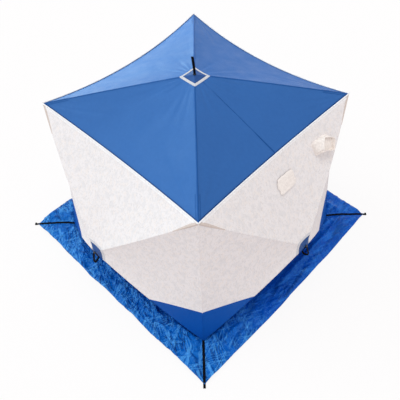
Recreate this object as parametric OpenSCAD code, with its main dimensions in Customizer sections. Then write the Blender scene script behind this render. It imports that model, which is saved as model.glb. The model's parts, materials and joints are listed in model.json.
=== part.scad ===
// Pop-up ice fishing hut: a cube tent held open by five sprung hubs of four poles each.
// Origin: ground level under the middle of the tent. Z is up, the front wall faces -Y.
// Every fabric panel is a patch of one inner surface, thickened outward by scaling it about
// the origin, so panels that share a seam share that seam's face exactly.

/* [Tent body] */
// side of the square that the walls stand on, at the ground
base_w = 2100; // [1400:5:2600]
// side of the square through the four upper corners
top_w = 1990; // [1300:5:2600]
// height of the four upper corners
eave_h = 1880; // [1200:5:2200]
// height of the fabric under the roof hub
peak_h = 2162; // [1400:2:2500]
// height of the wall hubs
hub_h = 890; // [600:5:1200]
// how far a wall hub stands out from the line between its upper and lower edges
hub_out = 370; // [150:5:500]

/* [Fabric tension] */
// thickness of the quilted shell fabric
fabric_t = 4; // [2:0.5:8]
// how far the middle of an eave is drawn in
eave_pull = 61; // [0:1:120]
// how far the middle of an eave hangs below its corners
eave_dip = 80; // [0:1:140]
// how far the middle of an upright corner is drawn in, along the diagonal
corner_pull = 59; // [0:1:120]
// bulge of a wall pole's ridge at its middle
wall_bow = 20; // [5:1:60]
// bulge of a roof pole's ridge at its middle
roof_bow = 8; // [3:1:40]
// how fast the pull of an edge fades toward the hub
pull_fade = 1.5; // [1:0.1:3]

/* [Lower band and skirt] */
// where the seam over the lower band lies, from the hub 0 to the ground 1
seam_ratio = 0.5; // [0.3:0.05:0.8]
// width of the snow skirt at its corners, square to the wall
skirt_w = 310; // [150:1:400]
// how far the skirt's outer edge bellies out at its middle
skirt_belly = 20; // [5:1:80]
// thickness of the skirt
skirt_t = 4; // [2:0.5:8]
// room between the skirt and the leaning band above it
skirt_gap = 2; // [1:0.5:5]

/* [Hubs and poles] */
// diameter of a fibreglass pole
pole_d = 9.5; // [7:0.5:13]
// room around a pole in its socket
pole_fit = 0.25; // [0.1:0.05:0.6]
// depth of the pole axes under the fabric at a hub
pole_depth = 14; // [12:0.5:20]
// inset of a pole tip from its corner along each axis
tip_inset = 8; // [7:0.5:14]
// length left free between a pole tip and its corner
tip_gap = 24; // [18:1:60]
// diameter of the cap on a pole tip
tip_cap_d = 15; // [12:0.5:15.5]
// length of that cap
tip_cap_len = 40; // [25:1:80]
// thickness of the cap's closed end
tip_cap_end = 6; // [3:0.5:10]
// diameter of a hub body
hub_d = 56; // [44:1:90]
// depth of a hub body from its tip to its back
hub_len = 34; // [30:1:60]
// radius of the hub's flat tip under the fabric
hub_tip_r = 3; // [2:0.5:6]
// diameter of a pole socket
socket_d = 17; // [14:0.5:22]
// length of a socket from the hub axis
socket_len = 66; // [45:1:110]
// distance of a pole's end from the hub axis
pole_start = 20; // [14:1:30]

/* [Patches and pull straps] */
// side of a hub patch over its binding
patch_w = 195; // [120:5:240]
// width of the pale binding round a patch
binding_w = 25; // [10:1:40]
// thickness of a patch and its binding
patch_t = 2; // [1:0.5:4]
// width of the pull straps
strap_w = 22; // [12:1:40]
// thickness of all webbing
strap_t = 3; // [2:0.5:5]
// height of the strap on the roof hub
roof_strap_h = 190; // [80:5:260]
// outer radius of the bends in the roof strap
roof_strap_r = 9; // [6:0.5:20]
// length of the loop that hangs from a wall hub
wall_loop_len = 140; // [80:2:200]
// outer radius of the round end of a wall loop
wall_loop_r = 36; // [14:1:38]
// turn of a wall loop about the upright through its hub
wall_loop_turn = 15; // [0:5:60]
// diameter of the cap that pins a pull strap to its hub
cap_d = 20; // [14:1:28]
// height of that cap over the patch
cap_h = 13; // [8:0.5:20]
// room left between webbing and what it is sewn on
sewn_gap = 0.3; // [0.1:0.1:0.6]

/* [Corner straps] */
// width of the webbing over each skirt corner
corner_strap_w = 25; // [15:1:40]
// how far a corner strap reaches past the skirt's corner
anchor_reach = 38; // [30:1:150]
// inner radius of the anchor eye at the strap's end
eye_r = 8; // [5:0.5:14]

/* [Vents] */
// width of a vent sleeve where it leaves the wall
vent_w = 190; // [140:5:300]
// length of a vent sleeve up the wall
vent_len = 140; // [110:5:240]
// place of the far vent along its wall
far_vent_x = 505; // [300:5:540]
// height of the middle of the far vent
far_vent_z = 1660; // [1400:5:1680]
// place of the middle vent along its wall
mid_vent_x = 20; // [-200:5:200]
// height of the middle of the middle vent
mid_vent_z = 1590; // [1400:5:1650]
// how far the far sleeve is pulled out
far_vent_out = 100; // [30:1:140]
// how far the folded sleeve in the middle stands out
mid_vent_out = 26; // [14:1:60]
// width of a sleeve's mouth
mouth_w = 150; // [80:5:180]
// height of a sleeve's mouth
mouth_len = 110; // [60:5:130]
// distance from the edge of a sleeve to its air hole
vent_margin = 30; // [20:1:50]

/* [Door] */
// upright distance from the door's corners to the wall's ridges
door_inset = 190; // [120:5:260]
// distance of the door's upright side from the edge of its wall, at hub height
door_margin = 164; // [140:2:300]
// radius of the door's corners
door_round = 70; // [40:5:120]
// room between the door flap and the wall
zip_gap = 4; // [2:0.5:8]
// width of the zip over that room
zip_w = 28; // [16:1:40]
// thickness of the zip
zip_t = 2; // [1:0.5:4]

/* [Piping] */
// diameter of the pale piping along the eaves
piping_d = 8; // [3:0.5:14]

/* [Hidden] */
// which sub-part to show
$fn = 96;
// segments in a full turn of a long shallow arc
arc_fn = 720;
// rows of facets in the band, between the seam and the hub, and down a roof panel
band_rows = 4;
hub_rows = 4;
roof_rows = 8;
half_rows = band_rows + hub_rows;
rows = 2 * half_rows;
// straight steps round each corner of the door
door_steps = 6;
// sides of the piping's section
piping_sides = 8;
pole_r = pole_d / 2;
hub_r = hub_d / 2;
base_half = base_w / 2;
top_half = top_w / 2;
wall_half = top_half + (base_half - top_half) * (1 - hub_h / eave_h);
wall_hub = [0, -(wall_half + hub_out), hub_h];
door_side = wall_half - door_margin;
peak = [0, 0, peak_h];
upper_l = [-top_half, -top_half, eave_h];
upper_r = [top_half, -top_half, eave_h];
lower_l = [-base_half, -base_half, 0];
lower_r = [base_half, -base_half, 0];
eave_draw = [0, eave_pull, -eave_dip];
corner_draw = corner_pull / sqrt(2);
wall_out = [0, -1, 0];
roof_out = [0, 0, 1];
skirt_in = base_half + fabric_t + skirt_gap;
skirt_half = base_half + skirt_w;
skirt_r = (pow(skirt_half, 2) + pow(skirt_belly, 2)) / (2 * skirt_belly);
over_patch = fabric_t + patch_t;
// how steeply the fabric falls away from a hub's tip, taken at the steepest facet
hub_fall = 0.5;
// how far a vent's sleeve and hole are carried through the curved wall before they are trimmed
vent_sink = 60;
// share of a pole, from its end, over which a socket or cup follows it
socket_share = 0.03;

function unit(v) = v / norm(v);

// point at u on an arc from a to b that bulges by s toward n
function arc_point(a, b, n, s, u) =
    let (c = norm(b - a))
    let (d = (b - a) / c)
    let (m = unit(n - d * (n * d)))
    let (r = (c * c / 4 + s * s) / (2 * s))
    let (t = (2 * u - 1) * asin(c / 2 / r))
    (a + b) / 2 + d * r * sin(t) + m * (r * cos(t) - r + s);

// point of a stretched triangle: v runs from the hub to the edge, u along the edge
function facet(hub, c0, c1, draw, out, bow, u, v) =
    let (a = arc_point(hub, c0, out, bow, v))
    let (b = arc_point(hub, c1, out, bow, v))
    let (bulge_a = a - hub - (c0 - hub) * v)
    let (bulge_b = b - hub - (c1 - hub) * v)
    let (k = 4 * u * (1 - u))
    a + (b - a) * u - (bulge_a * (1 - u) + bulge_b * u) * k + draw * k * pow(v, pull_fade);

// point of the front wall: s runs across and h up, both from -1 to 1 with the hub at 0
function wall_point(s, h) =
    let (v = max(abs(s), abs(h)))
    v == 0 ? wall_hub
    : abs(h) >= abs(s) && h > 0
        ? facet(wall_hub, upper_l, upper_r, eave_draw, wall_out, wall_bow, (s / v + 1) / 2, v)
    : abs(h) >= abs(s)
        ? facet(wall_hub, lower_l, lower_r, [0, 0, 0], wall_out, wall_bow, (s / v + 1) / 2, v)
    : s < 0
        ? facet(wall_hub, lower_l, upper_l, [corner_draw, corner_draw, 0], wall_out, wall_bow,
                (h / v + 1) / 2, v)
        : facet(wall_hub, lower_r, upper_r, [-corner_draw, corner_draw, 0], wall_out, wall_bow,
                (h / v + 1) / 2, v);

function roof_point(u, v) = facet(peak, upper_l, upper_r, eave_draw, roof_out, roof_bow, u, v);

// the i-th grid line across or up a wall, with one line on the seam
function line_at(i) =
    let (k = abs(i - half_rows))
    let (g = k <= hub_rows ? seam_ratio * k / hub_rows
                           : seam_ratio + (1 - seam_ratio) * (k - hub_rows) / band_rows)
    i < half_rows ? -g : g;

// a point of the inner surface moved out through t of fabric
function raised(p, t) =
    [p.x * (1 + t / base_half), p.y * (1 + t / base_half), p.z * (1 + t / peak_h)];

function turned(p, q) = q == 0 ? p : turned([-p.y, p.x, p.z], q - 1);

// both triangles that close the side between two neighbouring border points
function side_faces(a, b, n) = [[b + n, a + n, a], [b + n, a, b]];

// part of the front wall from grid row j0 to j1, between two distances out from the inner surface
module wall_shell(j0, j1, t0, t1) {
    w = rows + 1;
    inner = [for (j = [j0 : j1]) for (i = [0 : rows]) wall_point(line_at(i), line_at(j))];
    n = len(inner);
    top = j1 - j0;
    outer_faces = [
        for (j = [0 : top - 1])
            for (i = [0 : rows - 1])
                let (a = n + j * w + i)
                let (rising = (i < half_rows) == (j + j0 < half_rows))
                each rising
                    ? [[a, a + w, a + w + 1], [a, a + w + 1, a + 1]]
                    : [[a, a + w, a + 1], [a + 1, a + w, a + w + 1]]
    ];
    inner_faces = [for (f = outer_faces) [f[2] - n, f[1] - n, f[0] - n]];
    sides = [
        for (i = [0 : rows - 1]) each side_faces(i + 1, i, n),
        for (i = [0 : rows - 1]) each side_faces(top * w + i, top * w + i + 1, n),
        for (j = [0 : top - 1]) each side_faces(j * w, j * w + w, n),
        for (j = [0 : top - 1]) each side_faces(j * w + w + rows, j * w + rows, n)
    ];
    polyhedron(
        points = concat([for (p = inner) raised(p, t0)], [for (p = inner) raised(p, t1)]),
        faces = concat(outer_faces, inner_faces, sides)
    );
}

// the roof panel over the front wall
module roof_shell() {
    w = rows + 1;
    inner = concat(
        [peak],
        [for (k = [1 : roof_rows]) for (i = [0 : rows]) roof_point((line_at(i) + 1) / 2, k / roof_rows)]
    );
    n = len(inner);
    last = 1 + (roof_rows - 1) * w;
    outer_faces = [
        for (i = [0 : rows - 1]) [n, n + 2 + i, n + 1 + i],
        for (k = [1 : roof_rows - 1])
            for (i = [0 : rows - 1])
                let (a = n + 1 + (k - 1) * w + i)
                each i < half_rows
                    ? [[a, a + 1, a + w], [a + 1, a + w + 1, a + w]]
                    : [[a, a + 1, a + w + 1], [a, a + w + 1, a + w]]
    ];
    inner_faces = [for (f = outer_faces) [f[2] - n, f[1] - n, f[0] - n]];
    sides = [
        for (i = [0 : rows - 1]) each side_faces(last + i + 1, last + i, n),
        each side_faces(1, 0, n),
        each side_faces(0, 1 + rows, n),
        for (k = [1 : roof_rows - 1]) each side_faces(1 + k * w, 1 + (k - 1) * w, n),
        for (k = [1 : roof_rows - 1]) each side_faces(rows + 1 + (k - 1) * w, rows + 1 + k * w, n)
    ];
    polyhedron(
        points = concat(inner, [for (p = inner) raised(p, fabric_t)]),
        faces = concat(outer_faces, inner_faces, sides)
    );
}

// one snow skirt side, mitred at both ends, with an outer edge that bellies out
module skirt_side() {
    reach = skirt_half + skirt_belly;
    linear_extrude(skirt_t)
        intersection() {
            translate([0, skirt_r - skirt_half - skirt_belly])
                circle(r = skirt_r, $fn = arc_fn);
            polygon([[-skirt_in, -skirt_in], [skirt_in, -skirt_in], [reach, -reach], [-reach, -reach]]);
        }
}

// points round a hub, on the first row of facets, in clockwise order seen from outside
function wall_ring() =
    let (c = line_at(half_rows + 1))
    [for (k = [[0, 1], [1, 1], [1, 0], [1, -1], [0, -1], [-1, -1], [-1, 0], [-1, 1]])
        wall_point(k.x * c, k.y * c)];

function roof_ring() =
    [for (q = [3 : -1 : 0]) for (i = [rows : -1 : 1])
        turned(roof_point((line_at(i) + 1) / 2, 1 / roof_rows), q)];

// how far out the first row of facets lies, square to the middle of a side
function ring_half(is_roof) =
    is_roof ? -roof_point(0.5, 1 / roof_rows).y
            : wall_point(line_at(half_rows + 1), 0).x;

// a patch, or its binding, that lies flat on the facets round a hub
module ring_shell(ring, hub, k0, k1) {
    n = len(ring);
    low = concat(
        [for (p = ring) raised(hub + (p - hub) * k1, fabric_t)],
        [for (p = ring) raised(hub + (p - hub) * k0, fabric_t)]
    );
    high = concat(
        [for (p = ring) raised(hub + (p - hub) * k1, over_patch)],
        [for (p = ring) raised(hub + (p - hub) * k0, over_patch)]
    );
    m = 2 * n;
    faces = [
        for (i = [0 : n - 1])
            let (j = (i + 1) % n)
            each [
                [m + i, m + j, m + n + j], [m + i, m + n + j, m + n + i],
                [i, n + j, j], [i, n + i, n + j],
                [m + j, m + i, i], [m + j, i, j],
                [m + n + i, m + n + j, n + j], [m + n + i, n + j, n + i]
            ]
    ];
    polyhedron(points = concat(low, high), faces = faces);
}

module patch_shell(ring, hub, k) {
    n = len(ring);
    points = concat(
        [for (p = ring) raised(hub + (p - hub) * k, fabric_t)],
        [raised(hub, fabric_t)],
        [for (p = ring) raised(hub + (p - hub) * k, over_patch)],
        [raised(hub, over_patch)]
    );
    m = n + 1;
    faces = [
        for (i = [0 : n - 1])
            let (j = (i + 1) % n)
            each [[m + i, m + j, m + n], [j, i, n], [m + j, m + i, i], [m + j, i, j]]
    ];
    polyhedron(points = points, faces = faces);
}

module hub_patch(is_roof) {
    inner_half = patch_w / 2 - binding_w;
    if (is_roof) {
        patch_shell(roof_ring(), peak, inner_half / ring_half(true));
    } else {
        patch_shell(wall_ring(), wall_hub, inner_half / ring_half(false));
    }
}

module hub_binding(is_roof) {
    inner_half = patch_w / 2 - binding_w;
    if (is_roof) {
        ring_shell(roof_ring(), peak, inner_half / ring_half(true), patch_w / 2 / ring_half(true));
    } else {
        ring_shell(wall_ring(), wall_hub, inner_half / ring_half(false), patch_w / 2 / ring_half(false));
    }
}

// a pole's axis: from under the hub to just inside a corner
function pole_foot(hub, out) = hub - out * pole_depth;
function pole_tip(corner) =
    corner + [-sign(corner.x), -sign(corner.y), corner.z > 0 ? -1 : 1] * tip_inset;

// one bowed pole, trimmed clear of the hub axis and of its corner
module pole(hub, corner, out, bow) {
    a = pole_foot(hub, out);
    b = pole_tip(corner);
    c = norm(b - a);
    d = (b - a) / c;
    m = unit(out - d * (out * d));
    k = cross(m, d);
    r = (c * c / 4 + bow * bow) / (2 * bow);
    half = asin(c / 2 / r);
    from = -half + pole_start / r * 180 / PI;
    to = half - tip_gap / r * 180 / PI;
    o = (a + b) / 2 - m * (r - bow);
    multmatrix([[m.x, d.x, k.x, o.x], [m.y, d.y, k.y, o.y], [m.z, d.z, k.z, o.z], [0, 0, 0, 1]])
        rotate([0, 0, from])
            rotate_extrude(angle = to - from, $fn = arc_fn)
                translate([r, 0])
                    circle(d = pole_d, $fn = 24);
}

module aim(p, d) {
    translate(p)
        rotate([0, acos(d.z), atan2(d.y, d.x)])
            children();
}

// the way a pole leaves its hub
function pole_way(hub, corner, out, bow) =
    let (a = pole_foot(hub, out))
    let (b = pole_tip(corner))
    unit(arc_point(a, b, out, bow, socket_share) - a);

// the way a pole leaves its tip, back toward its hub
function tip_way(hub, corner, out, bow) =
    let (a = pole_foot(hub, out))
    let (b = pole_tip(corner))
    unit(arc_point(a, b, out, bow, 1 - socket_share) - b);

// a moulded hub with a pointed top and four pole sockets
module hub_body(hub, corners, out, bow) {
    tip = hub_tip_r * hub_fall;
    shoulder = tip + (hub_r - hub_tip_r) * hub_fall;
    difference() {
        union() {
            aim(hub - out * shoulder, out)
                cylinder(r1 = hub_r, r2 = hub_tip_r, h = shoulder - tip);
            aim(hub - out * hub_len, out)
                cylinder(r = hub_r, h = hub_len - shoulder);
            for (c = corners)
                aim(pole_foot(hub, out), pole_way(hub, c, out, bow))
                    cylinder(d = socket_d, h = socket_len);
        }
        for (c = corners)
            aim(pole_foot(hub, out) + pole_way(hub, c, out, bow) * (pole_start - pole_fit),
                pole_way(hub, c, out, bow))
                cylinder(d = pole_d + 2 * pole_fit, h = socket_len);
    }
}

// the cap on a pole's tip, closed toward the corner
module tip_cap(hub, corner, out, bow) {
    way = tip_way(hub, corner, out, bow);
    difference() {
        aim(pole_tip(corner) + way * (tip_gap - tip_cap_end), way)
            cylinder(d = tip_cap_d, h = tip_cap_len);
        aim(pole_tip(corner) + way * (tip_gap - pole_fit), way)
            cylinder(d = pole_d + 2 * pole_fit, h = tip_cap_len);
    }
}

wall_corners = [upper_l, upper_r, lower_l, lower_r];
roof_corners = [for (q = [0 : 3]) turned(upper_r, q)];

module wall_poles() {
    for (c = wall_corners) pole(wall_hub, c, wall_out, wall_bow);
}

// a flat-sided loop of webbing, standing on the origin and reaching up by len
module strap_loop(len, r, w) {
    rotate([90, 0, 0])
        translate([0, 0, -w / 2])
            linear_extrude(w)
                difference() {
                    union() {
                        translate([0, r]) circle(r = r);
                        translate([0, len - r]) circle(r = r);
                        translate([-r, r]) square([2 * r, len - 2 * r]);
                    }
                    union() {
                        translate([0, r]) circle(r = r - strap_t);
                        translate([0, len - r]) circle(r = r - strap_t);
                        translate([strap_t - r, r]) square([2 * (r - strap_t), len - 2 * r]);
                    }
                }
}

// a round end with two straight sides that meet in a point above it
module drop(mid, r, point) {
    b = asin(r / (point - mid));
    translate([0, mid]) circle(r = r);
    polygon([[0, point], [-r * cos(b), mid + r * sin(b)], [r * cos(b), mid + r * sin(b)]]);
}

// the capped loop that hangs from a wall hub
module wall_loop() {
    seat = raised(wall_hub, over_patch);
    mid = wall_loop_r - wall_loop_len;
    inner = wall_loop_r - strap_t;
    out = strap_w / 2 * sin(wall_loop_turn) + strap_t;
    translate(seat) {
        translate([0, -sewn_gap, 0])
            rotate([90, 0, 0])
                cylinder(d = cap_d, h = cap_h);
        translate([0, -sewn_gap - out, 0])
            rotate([90, 0, wall_loop_turn + 90])
                translate([0, 0, -strap_w / 2])
                    linear_extrude(strap_w)
                        difference() {
                            drop(mid, wall_loop_r, 0);
                            drop(mid, inner, mid + inner * -mid / wall_loop_r);
                        }
    }
}

// the webbing over one skirt corner, from the tent's corner to an anchor eye past the skirt
module corner_strap() {
    from = skirt_in * sqrt(2);
    eye_out = eye_r + strap_t;
    eye_at = (skirt_half * sqrt(2)) + anchor_reach - eye_out;
    lift = skirt_t + sewn_gap;
    rotate([0, 0, -45])
        difference() {
            union() {
                translate([from, -corner_strap_w / 2, lift])
                    cube([eye_at - from, corner_strap_w, strap_t]);
                translate([eye_at, corner_strap_w / 2, eye_out])
                    rotate([90, 0, 0])
                        cylinder(r = eye_out, h = corner_strap_w);
            }
            translate([eye_at, corner_strap_w, eye_out])
                rotate([90, 0, 0])
                    cylinder(r = eye_r, h = 2 * corner_strap_w);
        }
}

// frame of a vent on the upper part of a wall: X across, Y up the slope, Z out of the wall
module vent_frame(x, z) {
    h_up = (z + vent_len / 2 - hub_h) / (eave_h - hub_h);
    h_low = (z - vent_len / 2 - hub_h) / (eave_h - hub_h);
    a = wall_point(x / top_half, h_low);
    b = wall_point(x / top_half, h_up);
    up = unit([0, b.y - a.y, b.z - a.z]);
    o = raised((a + b) / 2, fabric_t);
    multmatrix([[1, 0, 0, o.x], [0, up.y, -up.z, o.y], [0, up.z, up.y, o.z], [0, 0, 0, 1]])
        children();
}

// a block that tapers from one rectangle at z0 to another at z1
module taper(w0, l0, z0, w1, l1, z1) {
    x = [w0 / 2, w1 / 2];
    y = [l0 / 2, l1 / 2];
    z = [z0, z1];
    polyhedron(
        points = [for (k = [0, 1]) for (c = [[-1, -1], [1, -1], [1, 1], [-1, 1]])
            [c.x * x[k], c.y * y[k], z[k]]],
        faces = [[0, 1, 2, 3], [7, 6, 5, 4], [0, 4, 5, 1], [1, 5, 6, 2], [2, 6, 7, 3], [3, 7, 4, 0]]
    );
}

// a tapered sleeve of fabric over an air hole; a folded one is closed across its mouth
module vent_sleeve(x, z, out, closed) {
    skin = 2 * fabric_t;
    difference() {
        vent_frame(x, z)
            difference() {
                union() {
                    translate([-vent_w / 2, -vent_len / 2, -vent_sink])
                        cube([vent_w, vent_len, vent_sink]);
                    taper(vent_w, vent_len, 0, mouth_w, mouth_len, out);
                }
                translate([fabric_t - vent_w / 2, fabric_t - vent_len / 2, -2 * vent_sink])
                    cube([vent_w - skin, vent_len - skin, 2 * vent_sink]);
                taper(vent_w - skin, vent_len - skin, 0, mouth_w - skin, mouth_len - skin,
                      closed ? out - fabric_t : out);
                if (!closed)
                    translate([skin / 2 - mouth_w / 2, skin / 2 - mouth_len / 2, out - fabric_t])
                        cube([mouth_w - skin, mouth_len - skin, skin]);
            }
        wall_shell(band_rows, rows, -2 * vent_sink, fabric_t);
    }
}

module vent_hole(x, z) {
    vent_frame(x, z)
        translate([vent_margin - vent_w / 2, vent_margin - vent_len / 2, -vent_sink])
            cube([vent_w - 2 * vent_margin, vent_len - 2 * vent_margin, 2 * vent_sink]);
}

// the door's outline, grown or shrunk by a change of its corner radius
module door_shape(r) {
    rise = hub_h / base_half;
    climb = (eave_h - hub_h) / top_half;
    near_x = 2 * door_inset / (rise + climb);
    near_z = hub_h + (climb - rise) * near_x / 2;
    c = [
        [near_x, near_z],
        [door_side, hub_h + climb * door_side - door_inset],
        [door_side, hub_h - rise * door_side + door_inset]
    ];
    way = [for (i = [0 : 2]) let (d = c[(i + 1) % 3] - c[i]) atan2(d.x, -d.y)];
    polygon([
        for (i = [0 : 2])
            let (from = way[(i + 2) % 3])
            let (turn = (way[i] - from - 360) % 360)
            for (k = [0 : door_steps])
                let (a = from + turn * k / door_steps)
                c[i] + [cos(a), sin(a)] * r
    ]);
}

// a straight cut through the front wall along the door's outline
module door_prism(r) {
    translate([0, -top_half / 2, 0])
        rotate([90, 0, 0])
            linear_extrude(base_w)
                door_shape(r);
}

// a round bead along one eave, just outside the seam
module piping() {
    r = piping_d / 2;
    ring = [for (k = [0 : piping_sides - 1]) 360 * k / piping_sides];
    path = [for (i = [0 : rows]) raised(roof_point((line_at(i) + 1) / 2, 1), fabric_t)];
    out = unit([0, -1, 1]);
    lift = r + sewn_gap;
    across = unit([0, 1, 1]);
    points = [for (p = path) for (a = ring) p + out * (lift + r * cos(a)) + across * r * sin(a)];
    n = piping_sides;
    faces = concat(
        [for (i = [0 : rows - 1]) for (k = [0 : n - 1])
            let (a = i * n + k)
            let (b = i * n + (k + 1) % n)
            each [[a, b, b + n], [a, b + n, a + n]]],
        [[for (k = [n - 1 : -1 : 0]) k]],
        [[for (k = [0 : n - 1]) rows * n + k]]
    );
    polyhedron(points = points, faces = faces);
}

module on_wall(q) {
    rotate([0, 0, 90 * q])
        children();
}

module blue() {
    color([0.12, 0.33, 0.66])
        children();
}

module pale() {
    color([0.93, 0.92, 0.92])
        children();
}

module black() {
    color([0.06, 0.06, 0.07])
        children();
}

module roof_front_panel() { blue() roof_shell(); }
module roof_right_panel() { blue() on_wall(1) roof_shell(); }
module roof_back_panel() { blue() on_wall(2) roof_shell(); }
module roof_left_panel() { blue() on_wall(3) roof_shell(); }

module front_wall() { pale() wall_shell(band_rows, rows, 0, fabric_t); }
module right_wall() {
    pale()
        on_wall(1)
            difference() {
                wall_shell(band_rows, rows, 0, fabric_t);
                vent_hole(far_vent_x, far_vent_z);
                vent_hole(mid_vent_x, mid_vent_z);
            }
}
module back_wall() {
    pale()
        on_wall(2)
            difference() {
                wall_shell(band_rows, rows, 0, fabric_t);
                door_prism(door_round);
            }
}
module left_wall() { pale() on_wall(3) wall_shell(band_rows, rows, 0, fabric_t); }

module front_wall_band() { blue() wall_shell(0, band_rows, 0, fabric_t); }
module right_wall_band() { blue() on_wall(1) wall_shell(0, band_rows, 0, fabric_t); }
module back_wall_band() {
    blue()
        on_wall(2)
            difference() {
                wall_shell(0, band_rows, 0, fabric_t);
                door_prism(door_round);
            }
}
module left_wall_band() { blue() on_wall(3) wall_shell(0, band_rows, 0, fabric_t); }

module front_skirt() { blue() skirt_side(); }
module right_skirt() { blue() on_wall(1) skirt_side(); }
module back_skirt() { blue() on_wall(2) skirt_side(); }
module left_skirt() { blue() on_wall(3) skirt_side(); }

module door_flap() {
    pale()
        on_wall(2)
            intersection() {
                wall_shell(band_rows, rows, 0, fabric_t);
                door_prism(door_round - zip_gap);
            }
}
module door_flap_foot() {
    blue()
        on_wall(2)
            intersection() {
                wall_shell(0, band_rows, 0, fabric_t);
                door_prism(door_round - zip_gap);
            }
}
module door_zip() {
    black()
        on_wall(2)
            intersection() {
                wall_shell(0, rows, fabric_t, fabric_t + zip_t);
                difference() {
                    door_prism(door_round + (zip_w - zip_gap) / 2);
                    door_prism(door_round - (zip_w + zip_gap) / 2);
                }
            }
}

module eave_piping() {
    pale()
        for (q = [0 : 3])
            on_wall(q) piping();
}

module roof_hub() { black() hub_body(peak, roof_corners, roof_out, roof_bow); }
module front_hub() { black() hub_body(wall_hub, wall_corners, wall_out, wall_bow); }
module right_hub() { black() on_wall(1) hub_body(wall_hub, wall_corners, wall_out, wall_bow); }
module back_hub() { black() on_wall(2) hub_body(wall_hub, wall_corners, wall_out, wall_bow); }
module left_hub() { black() on_wall(3) hub_body(wall_hub, wall_corners, wall_out, wall_bow); }

module roof_poles() {
    black()
        for (c = roof_corners)
            pole(peak, c, roof_out, roof_bow);
}
module front_poles() { black() wall_poles(); }
module right_poles() { black() on_wall(1) wall_poles(); }
module back_poles() { black() on_wall(2) wall_poles(); }
module left_poles() { black() on_wall(3) wall_poles(); }

module upper_pole_tips() {
    black()
        for (q = [0 : 3])
            on_wall(q) {
                tip_cap(peak, upper_r, roof_out, roof_bow);
                tip_cap(wall_hub, upper_l, wall_out, wall_bow);
                tip_cap(wall_hub, upper_r, wall_out, wall_bow);
            }
}
module lower_pole_tips() {
    black()
        for (q = [0 : 3])
            on_wall(q) {
                tip_cap(wall_hub, lower_l, wall_out, wall_bow);
                tip_cap(wall_hub, lower_r, wall_out, wall_bow);
            }
}

module roof_hub_patch() { blue() hub_patch(true); }
module front_hub_patch() { blue() hub_patch(false); }
module right_hub_patch() { blue() on_wall(1) hub_patch(false); }
module back_hub_patch() { blue() on_wall(2) hub_patch(false); }
module left_hub_patch() { blue() on_wall(3) hub_patch(false); }
module hub_patch_bindings() {
    pale() {
        hub_binding(true);
        for (q = [0 : 3])
            on_wall(q) hub_binding(false);
    }
}

module roof_pull_strap() {
    black()
        translate([0, 0, raised(peak, over_patch).z + sewn_gap]) {
            cylinder(d = cap_d, h = cap_h);
            translate([0, 0, strap_t])
                rotate([0, 0, -45])
                    strap_loop(roof_strap_h, roof_strap_r, strap_w);
        }
}
module front_pull_loop() { black() wall_loop(); }
module right_pull_loop() { black() on_wall(1) wall_loop(); }
module back_pull_loop() { black() on_wall(2) wall_loop(); }
module left_pull_loop() { black() on_wall(3) wall_loop(); }

module front_right_corner_strap() { black() corner_strap(); }
module back_right_corner_strap() { black() on_wall(1) corner_strap(); }
module back_left_corner_strap() { black() on_wall(2) corner_strap(); }
module front_left_corner_strap() { black() on_wall(3) corner_strap(); }

module far_vent_sleeve() { pale() on_wall(1) vent_sleeve(far_vent_x, far_vent_z, far_vent_out, false); }
module middle_vent_sleeve() { pale() on_wall(1) vent_sleeve(mid_vent_x, mid_vent_z, mid_vent_out, true); }

roof_front_panel();
roof_right_panel();
roof_back_panel();
roof_left_panel();
front_wall();
right_wall();
back_wall();
left_wall();
front_wall_band();
right_wall_band();
back_wall_band();
left_wall_band();
front_skirt();
right_skirt();
back_skirt();
left_skirt();
door_flap();
door_flap_foot();
door_zip();
eave_piping();
roof_hub();
front_hub();
right_hub();
back_hub();
left_hub();
roof_poles();
front_poles();
right_poles();
back_poles();
left_poles();
upper_pole_tips();
lower_pole_tips();
roof_hub_patch();
front_hub_patch();
right_hub_patch();
back_hub_patch();
left_hub_patch();
hub_patch_bindings();
roof_pull_strap();
front_pull_loop();
right_pull_loop();
back_pull_loop();
left_pull_loop();
front_right_corner_strap();
back_right_corner_strap();
back_left_corner_strap();
front_left_corner_strap();
far_vent_sleeve();
middle_vent_sleeve();
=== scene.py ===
"""Looks of the pop-up ice fishing hut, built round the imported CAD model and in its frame, in metres.

The cloth panels repeat the CAD surface on a finer grid and add the small wrinkles, seams, stitches
and hems of sewn cloth. Hubs, poles, pole tips and the zip tape stay as CAD nodes with better materials.
"""

import json
from functools import partial
from math import asin, cos, fmod, pi, radians, sin, sqrt

import bmesh
import bpy
import numpy as np
from mathutils import Matrix, Vector

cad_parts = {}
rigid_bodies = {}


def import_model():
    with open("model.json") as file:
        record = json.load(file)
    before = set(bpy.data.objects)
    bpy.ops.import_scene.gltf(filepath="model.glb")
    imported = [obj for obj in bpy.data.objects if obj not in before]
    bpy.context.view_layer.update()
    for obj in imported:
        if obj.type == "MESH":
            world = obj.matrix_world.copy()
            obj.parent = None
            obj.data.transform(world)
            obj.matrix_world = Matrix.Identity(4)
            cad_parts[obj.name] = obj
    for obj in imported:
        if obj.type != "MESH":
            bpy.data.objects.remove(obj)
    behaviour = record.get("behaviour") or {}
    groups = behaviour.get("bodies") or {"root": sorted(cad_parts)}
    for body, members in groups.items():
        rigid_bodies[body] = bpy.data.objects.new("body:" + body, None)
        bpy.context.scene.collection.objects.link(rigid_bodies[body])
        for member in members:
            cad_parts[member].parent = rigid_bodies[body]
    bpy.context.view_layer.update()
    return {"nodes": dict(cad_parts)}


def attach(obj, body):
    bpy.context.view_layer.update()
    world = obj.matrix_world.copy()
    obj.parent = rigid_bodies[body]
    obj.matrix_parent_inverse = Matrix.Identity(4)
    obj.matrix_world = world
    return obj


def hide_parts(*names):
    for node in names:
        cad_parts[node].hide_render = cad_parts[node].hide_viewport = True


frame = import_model()

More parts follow.
